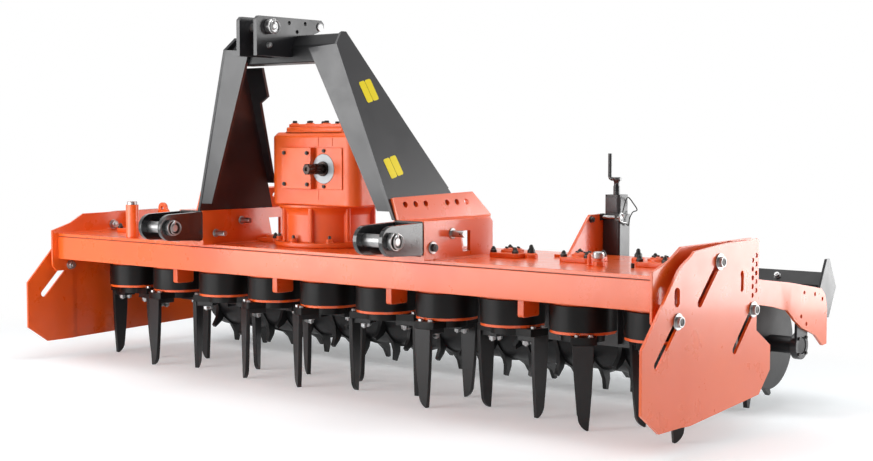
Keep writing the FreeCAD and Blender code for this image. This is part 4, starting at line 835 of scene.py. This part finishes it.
# painted shade: a dark disc for the shade inside a guide bolt's socket
SOCKET_SHADE = [(0.0105, -0.001), (0.0105, 0.0004), (0.0095, 0.0009), (0.0062, 0.0009),
          (0.0058, 0.0001)]
MARKER_CAP = [(0.0176, 0), (0.0176, 0.0085), (0.0165, 0.0112), (0.010, 0.0116), (0, 0.0117)]


def guide_hardware():
    """Painted shade as dark discs in the sockets of the guide bolts' heads, and nuts on the inner
    side of the end plates.
    """
    dark = Batch("guide_socket_shade", BLACK_OXIDE_AND_HOLE_SHADE, "dark_steel")
    zinc = Batch("guide_nuts", ZINC, "zinc_steel")
    for side in (1, -1):
        for y, z, inset in GUIDES:
            head, nut = spot(0, y, z), spot(0, y, z)
            head.x = side * (high("end_bolts").x - inset)
            # painted shade inside the bolt head's socket
            dark.lathe(head, RIGHT * side, SOCKET_SHADE, 26)
            nut.x = side * TROUGH_HALF
            zinc.bolt(nut, RIGHT * -side, 0.026, 0.3)
    dark.done()
    zinc.done()


def marker_cap():
    """The plated cap on the marker post."""
    zinc = Batch("marker_cap", ZINC, "zinc_steel")
    top = at_height(middle("marker_post"), high("marker_post").z)
    zinc.lathe(top - UP * 0.0108, UP, MARKER_CAP, 30)
    zinc.done()


JACK_X, JACK_Y, JACK_FRONT = 798, 282, 252
PIN_Y, PIN_Z = JACK_FRONT - 7, 570  # cross pin
CLIP_X, CLIP_WIRE, LOOP_WIRE = 38, 0.0026, 0.0018
CLIP_TAIL = ((-2, 556), (14, 553), (24, 552))  # y behind the jack's front, and z
LOOP = ((4, 581), (22, 618), (36, 628), (62, 610), (84, 589), (60, 583), (44, 566), (38, 545),
        (24, 552))
PIN_HEAD = [(0.009, 0), (0.009, 0.004), (0.007, 0.0055)]
CRANK_ARM, CRANK_BAR, CRANK_HANDLE = 0.024, 0.0058, 0.076
CRANK_DROP = 0.078  # from the handle's top down to the arm


def jack_hardware():
    """Crank, cross pin and spring clip with its wire on each jack, and the bolt on its gusset."""
    zinc = Batch("jack_pins", ZINC, "zinc_steel")
    dark = Batch("jack_bolts", BLACK_OXIDE_AND_HOLE_SHADE, "dark_steel")
    grey = Batch("jack_head_faces", HEAD_GREY, "black_paint")
    crank = Batch("crank_bars", GLOSS_BLACK, "black_paint")
    head_top = high("jack_tubes").z
    for out in (1, -1):
        x = JACK_X * out
        side = RIGHT * out
        clip_x = x + CLIP_X * out
        head = spot(x - 38 * out, PIN_Y, PIN_Z)
        zinc.tube([head, spot(x + 42 * out, PIN_Y, PIN_Z)], 0.0055, 16)
        zinc.lathe(head, -side, PIN_HEAD, 18)
        clip = [spot(clip_x, PIN_Y + 11 * math.cos(a) + 5, PIN_Z + 12 * math.sin(a))
                for a in [math.radians(20 * k) for k in range(17)]]
        clip += [spot(clip_x, JACK_FRONT + y, z) for y, z in CLIP_TAIL]
        zinc.tube(clip, CLIP_WIRE, 8)
        loop = [spot(clip_x, JACK_FRONT + y, z) for y, z in LOOP]
        dark.tube(smooth_path(loop), LOOP_WIRE, 8)
        for dx in (-26, 26):
            dark.block(spot(x + dx - 4, JACK_FRONT - 14, 560),
                       spot(x + dx + 4, JACK_FRONT + 1, 580), bevel=0.0012)
        for place, half in ((spot(x, 256, 0), Vector((0.019, 0.0012, 0.021))),
                            (spot(x + 26 * out, JACK_Y, 0), Vector((0.0012, 0.019, 0.021)))):
            place.z = head_top - 0.029
            grey.block(place - half, place + half, bevel=0.0008)
        dark.bolt(spot(x - 30 * out, 193, 564), side, 0.015, 0.3)
        foot = at_height(spot(x, JACK_Y, 0), head_top - 0.002)
        hub = at_height(foot, high("jack_cranks").z - CRANK_DROP)
        rise = hub.z - foot.z
        neck = [(0.0100, 0), (0.0100, rise * 0.55), (0.0082, rise * 0.62), (0.0082, rise * 0.80),
                (0.0112, rise * 0.92), (0.0112, rise + 0.004), (0.0080, rise + 0.0058)]
        crank.lathe(foot, UP, neck, 22)
        bend = hub - side * CRANK_ARM
        crank.tube([hub + side * 0.015, hub, bend + side * 0.007, bend + (side + UP) * 0.0022,
                    bend + UP * 0.007, bend + UP * CRANK_HANDLE], CRANK_BAR, 14)
    zinc.done()
    dark.done()
    grey.done()
    piece = crank.done()
    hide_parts("jack_cranks")


def smooth_path(points):
    """A smooth line through points, by Catmull-Rom pieces of five steps each."""
    path = []
    last = len(points) - 1
    for index in range(last):
        before = points[max(index - 1, 0)]
        start, end = points[index], points[index + 1]
        after = points[min(index + 2, last)]
        for step in range(5):
            t = step / 5
            path.append(0.5 * ((2 * start) + (end - before) * t
                               + (2 * before - 5 * start + 4 * end - after) * t * t
                               + (3 * start - before - 3 * end + after) * t ** 3))
    path.append(points[-1])
    return path


YELLOW_PLATES = ((-289, -226, 908, 974), (-274, -206, 690, 751))  # y from, to, z from, to
PLATE_THICKNESS, PLATE_SKEW = 0.0016, 14  # skew in degrees


def leg_blocks():
    """Two plain yellow plates on the right leg's outer face, each split down its middle."""
    yellow = Batch("yellow_plates", YELLOW, "orange_paint")
    lean = Matrix.Rotation(math.radians(-LEG_LEAN), 4, "Y")
    skew = Matrix.Rotation(math.radians(PLATE_SKEW), 4, "X")
    for y0, y1, z0, z1 in YELLOW_PLATES:
        size = Vector((PLATE_THICKNESS, (y1 - y0) * MM * 0.42, (z1 - z0) * MM))
        part = bmesh.new()
        bmesh.ops.create_cube(part, size=1.0)
        bmesh.ops.scale(part, vec=size, verts=part.verts)
        upright = [e for e in part.edges if abs(e.verts[0].co.x - e.verts[1].co.x) > 0.0005]
        bmesh.ops.bevel(part, geom=upright, offset=0.006, segments=4, profile=0.5, affect="EDGES")
        place = spot(0, (y0 + y1) / 2, (z0 + z1) / 2)
        place.x = leg_face(place.z)
        half = (y1 - y0) * MM * 0.225
        other = part.copy()
        for piece, step in ((part, -half), (other, half)):
            shift = Matrix.Translation(Vector((0, step, 0)))
            matrix = Matrix.Translation(place) @ lean @ skew @ shift
            bmesh.ops.transform(piece, matrix=matrix, verts=piece.verts)
            yellow.add(piece)
    yellow.done(20)


def leg_face(z):
    """The x of the right leg's outer face at a height."""
    foot, top = low("headstock_leg_right"), high("headstock_leg_right")
    return top.x - (z - foot.z) * math.tan(math.radians(LEG_LEAN))


SCRAPER_BOLT_X = 0.026  # either side of a scraper's middle
BEARING_BOLT_CIRCLE, BEARING_INSET = 0.0325, 0.008
BEAM_BOLT_X, BEAM_HALF = 1.125, 0.028  # half of the beam's side


def roller_hardware():
    """Scraper bolts, bearing bolts, and one plated bolt near each end of the roller beam."""
    dark = Batch("roller_bolts", BLACK_OXIDE_AND_HOLE_SHADE, "dark_steel", "roller_frame")
    zinc = Batch("roller_zinc_bolts", ZINC, "zinc_steel", "roller_frame")
    angle = math.radians(BEAM_ANGLE)
    along = Vector((0, math.cos(angle), math.sin(angle)))
    face = Vector((0, -math.sin(angle), math.cos(angle)))
    for centre in solid_middles("scrapers"):
        for side in (-SCRAPER_BOLT_X, SCRAPER_BOLT_X):
            place = Vector((centre.x + side, centre.y, centre.z)) + along * 0.012 + face * 0.005
            dark.bolt(place, face, 0.013, 0.3)
    arm_out = high("roller_arm_right").x
    axle, beam = middle("packer_roller"), middle("roller_beam")
    for side in (1, -1):
        for turn in range(4):
            a = math.radians(90 * turn + 45)
            place = Vector((side * (arm_out - BEARING_INSET),
                            axle.y + BEARING_BOLT_CIRCLE * math.cos(a),
                            axle.z + BEARING_BOLT_CIRCLE * math.sin(a)))
            dark.bolt(place, RIGHT * side, 0.009, 0.2, washer=False, stub=False)
        place = Vector((side * BEAM_BOLT_X, beam.y, beam.z)) + face * BEAM_HALF
        zinc.bolt(place, face, 0.016, 0.3)
    dark.done()
    zinc.done()


def solid_middles(node):
    """The middles of a node's separate solids."""
    bm = bmesh.new()
    bm.from_mesh(NODES[node].data)
    bmesh.ops.remove_doubles(bm, verts=bm.verts, dist=MERGE)
    left = set(bm.verts)
    middles = []
    while left:
        group = [left.pop()]
        for vert in group:
            for edge in vert.link_edges:
                other = edge.other_vert(vert)
                if other in left:
                    left.remove(other)
                    group.append(other)
        lower = Vector([min(v.co[axis] for v in group) for axis in range(3)])
        upper = Vector([max(v.co[axis] for v in group) for axis in range(3)])
        middles.append((lower + upper) / 2)
    bm.free()
    return middles


BEAD_STEP, BEAD_RIPPLE, BEAD_UNEVEN = 0.0042, 0.13, 0.05
CLEVIS_FROM, CLEVIS_TO = 0.419, 0.525  # either side of the middle
CLEVIS_REAR = -285
GUSSET_X = 0.768


def bead(batch, start, end, radius=0.0035):
    """A weld bead along a corner, with its ripples."""
    start, end = Vector(start), Vector(end)
    run = end - start
    steps = max(3, int(run.length / BEAD_STEP))
    direction = run.normalized()
    side = direction.orthogonal().normalized()
    other = direction.cross(side)
    rings = []
    for step in range(steps + 1):
        wave = 1 + BEAD_RIPPLE * math.sin(step * 2.4) + rng.uniform(-BEAD_UNEVEN, BEAD_UNEVEN)
        size = radius * (0.55 if step in (0, steps) else wave)
        rings.append(batch.round_ring(start + run * step / steps, side, other, size, 8))
    batch.close(rings)


def weld_beads():
    """Beads round the feet of the hitch brackets, clevises and gussets, and at the ends."""
    orange = Batch("weld_beads_orange", ORANGE_CAST, "orange_paint")
    black = Batch("weld_beads_black", BLACK, "black_paint")
    top = TROUGH_TOP
    for node in ("hitch_bracket_right", "hitch_bracket_left"):
        a, b = low(node), high(node)
        outer, inner = (b.x, a.x) if b.x > 0 else (a.x, b.x)
        front, rear = a.y + 0.045, spot(0, 27, 0).y
        bead(orange, (outer, front, top), (outer, rear - 0.01, top), 0.004)
        bead(orange, (inner, front, top), (inner, rear + 0.04, top), 0.004)
        bead(orange, (a.x + 0.01, TROUGH_FRONT, top), (b.x - 0.01, TROUGH_FRONT, top))
    for sign in (1, -1):
        x0, x1 = sorted((sign * CLEVIS_FROM, sign * CLEVIS_TO))
        y = spot(0, CLEVIS_REAR, 0).y
        for x in (x0, x1):
            bead(black, (x, y, 0.480), (x, y, 0.562))
        bead(black, (x0, y, 0.566), (x1, y, 0.566))
        for x in (x0 + 0.014, x1 - 0.014):
            bead(black, (x, y - 0.012, 0.478), (x, y - 0.012, 0.562), 0.003)
        x = sign * GUSSET_X
        bead(orange, (x, spot(0, 90, 0).y, top), (x, spot(0, 232, 0).y, top))
        x = sign * TROUGH_HALF
        bead(orange, (x, TROUGH_FRONT + 0.02, top), (x, -TROUGH_FRONT + 2 * LINE_Y - 0.02, top))
    orange.done(60)
    black.done(60)


# ---- the studio
SKY_COLOUR, SKY_STRENGTH = (0.95, 0.96, 1.0, 1), 0.27
DARK_SIDE = (0.65, -0.76, 0)  # reflections darken towards this direction
FLOOR_HALF, FLOOR_LEVEL = 40, -0.0005
FLOOR_COLOUR, FLOOR_LIFT = (0.81, 0.845, 0.855, 1), 0.26
POOL = (1 / 2.0, 1 / 1.35, 0)  # one over the shadow pool's half width and half depth
LAMPS = (  # name, place, target, width, height, radiance, spread
    ("front_left", (-1.55, -2.9, 1.0), (-1.0, 0.0, 0.8), 2.9, 1.96, 5.0, 180),
    ("rear_right", (2.5, 2.1, 0.88), (1.3, 0.0, 0.4), 2.0, 1.7, 1.4, 80),
    ("overhead", (0.2, -0.3, 4.2), (0, 0, 0.4), 3.2, 2.4, 4.2, 180),
    ("near", (3.0, -4.6, 3.4), (0.4, 0, 0.4), 1.8, 1.8, 2.4, 180),
)
CAMERA_PLACE, CAMERA_TILT, CAMERA_TURN = (3204, -3372, 806), 86.34, 40.41
LENS, SENSOR = 60.09, 36


def surroundings():
    """World: white to the camera, darker on one side in reflections, softer as light."""
    world = bpy.data.worlds.new("studio")
    graph = Graph(world)
    light = graph.nodes["Background"]
    put(light, Color=SKY_COLOUR, Strength=SKY_STRENGTH)
    seen = graph.nodes.new("ShaderNodeBackground")
    put(seen, Color=WHITE)
    coords = graph.nodes.new("ShaderNodeTexCoord")
    dot = graph.vector("DOT_PRODUCT", coords.outputs["Generated"], DARK_SIDE)
    side = graph.remap(dot, (-0.5, 0.35), (1, 0.12))
    path = graph.nodes.new("ShaderNodeLightPath")
    strength = graph.calculate("MAXIMUM", path.outputs["Is Camera Ray"], side)
    graph.link(strength, seen.inputs["Strength"])
    mix = graph.mix_shaders(graph.seen_white(), light.outputs[0], seen.outputs[0])
    graph.link(mix, graph.nodes["World Output"].inputs["Surface"])
    scene.world = world


def floor():
    """A pale floor that keeps the shadow and runs out to white away from the machine."""
    mesh = bpy.data.meshes.new("floor")
    size, z = FLOOR_HALF, FLOOR_LEVEL
    corners = [(-size, -size, z), (size, -size, z), (size, size, z), (-size, size, z)]
    mesh.from_pydata(corners, [], [(0, 1, 2, 3)])
    piece = new_object("floor", mesh)
    surface = Surface("floor")
    put(surface.shader, Base_Color=FLOOR_COLOUR, Roughness=0.8, Specular_IOR_Level=0.1)
    seen = surface.seen_white()
    lift = surface.nodes.new("ShaderNodeEmission")
    put(lift, Color=WHITE)
    surface.link(surface.remap(seen, (0, 1), (0, FLOOR_LIFT)), lift.inputs["Strength"])
    add = surface.nodes.new("ShaderNodeAddShader")
    surface.feed(add, (surface.shader.outputs[0], lift.outputs[0]))
    white = surface.nodes.new("ShaderNodeEmission")
    put(white, Color=WHITE, Strength=1.0)
    coords = surface.nodes.new("ShaderNodeTexCoord")
    away = surface.vector("LENGTH", surface.vector("MULTIPLY", coords.outputs["Object"], POOL))
    fade = surface.calculate("MULTIPLY", surface.remap(away, (0.75, 1.25)), seen)
    mix = surface.mix_shaders(fade, add.outputs[0], white.outputs[0])
    surface.link(mix, surface.nodes["Material Output"].inputs["Surface"])
    mesh.materials.append(surface.material)


def softbox(name, place, target, width, height, radiance, spread):
    """An area lamp given by the brightness of its face and the degrees that it spreads over."""
    light = bpy.data.lights.new(name, "AREA")
    light.shape = "RECTANGLE"
    light.size = width
    light.size_y = height
    light.energy = radiance * math.pi * width * height
    light.spread = math.radians(spread)
    holder = new_object(name, light)
    holder.location = place
    aim = Vector(target) - Vector(place)
    holder.rotation_euler = aim.to_track_quat("-Z", "Y").to_euler()


def studio():
    surroundings()
    floor()
    for lamp in LAMPS:
        softbox(*lamp)
    view = bpy.data.cameras.new("camera")
    view.sensor_width = SENSOR
    view.lens = LENS
    holder = new_object("camera", view)
    holder.location = spot(*CAMERA_PLACE)
    holder.rotation_euler = (math.radians(CAMERA_TILT), 0, math.radians(CAMERA_TURN))
    scene.camera = holder
    scene.view_settings.view_transform = "Standard"


dress_nodes()
cover_hardware()
painted_gap_line()
breather()
flange_bolts()
rotor_hardware()
gearbox_hardware()
splined_shaft()
link_hardware()
wall_bolts()
guide_hardware()
marker_cap()
jack_hardware()
leg_blocks()
roller_hardware()
weld_beads()
studio()
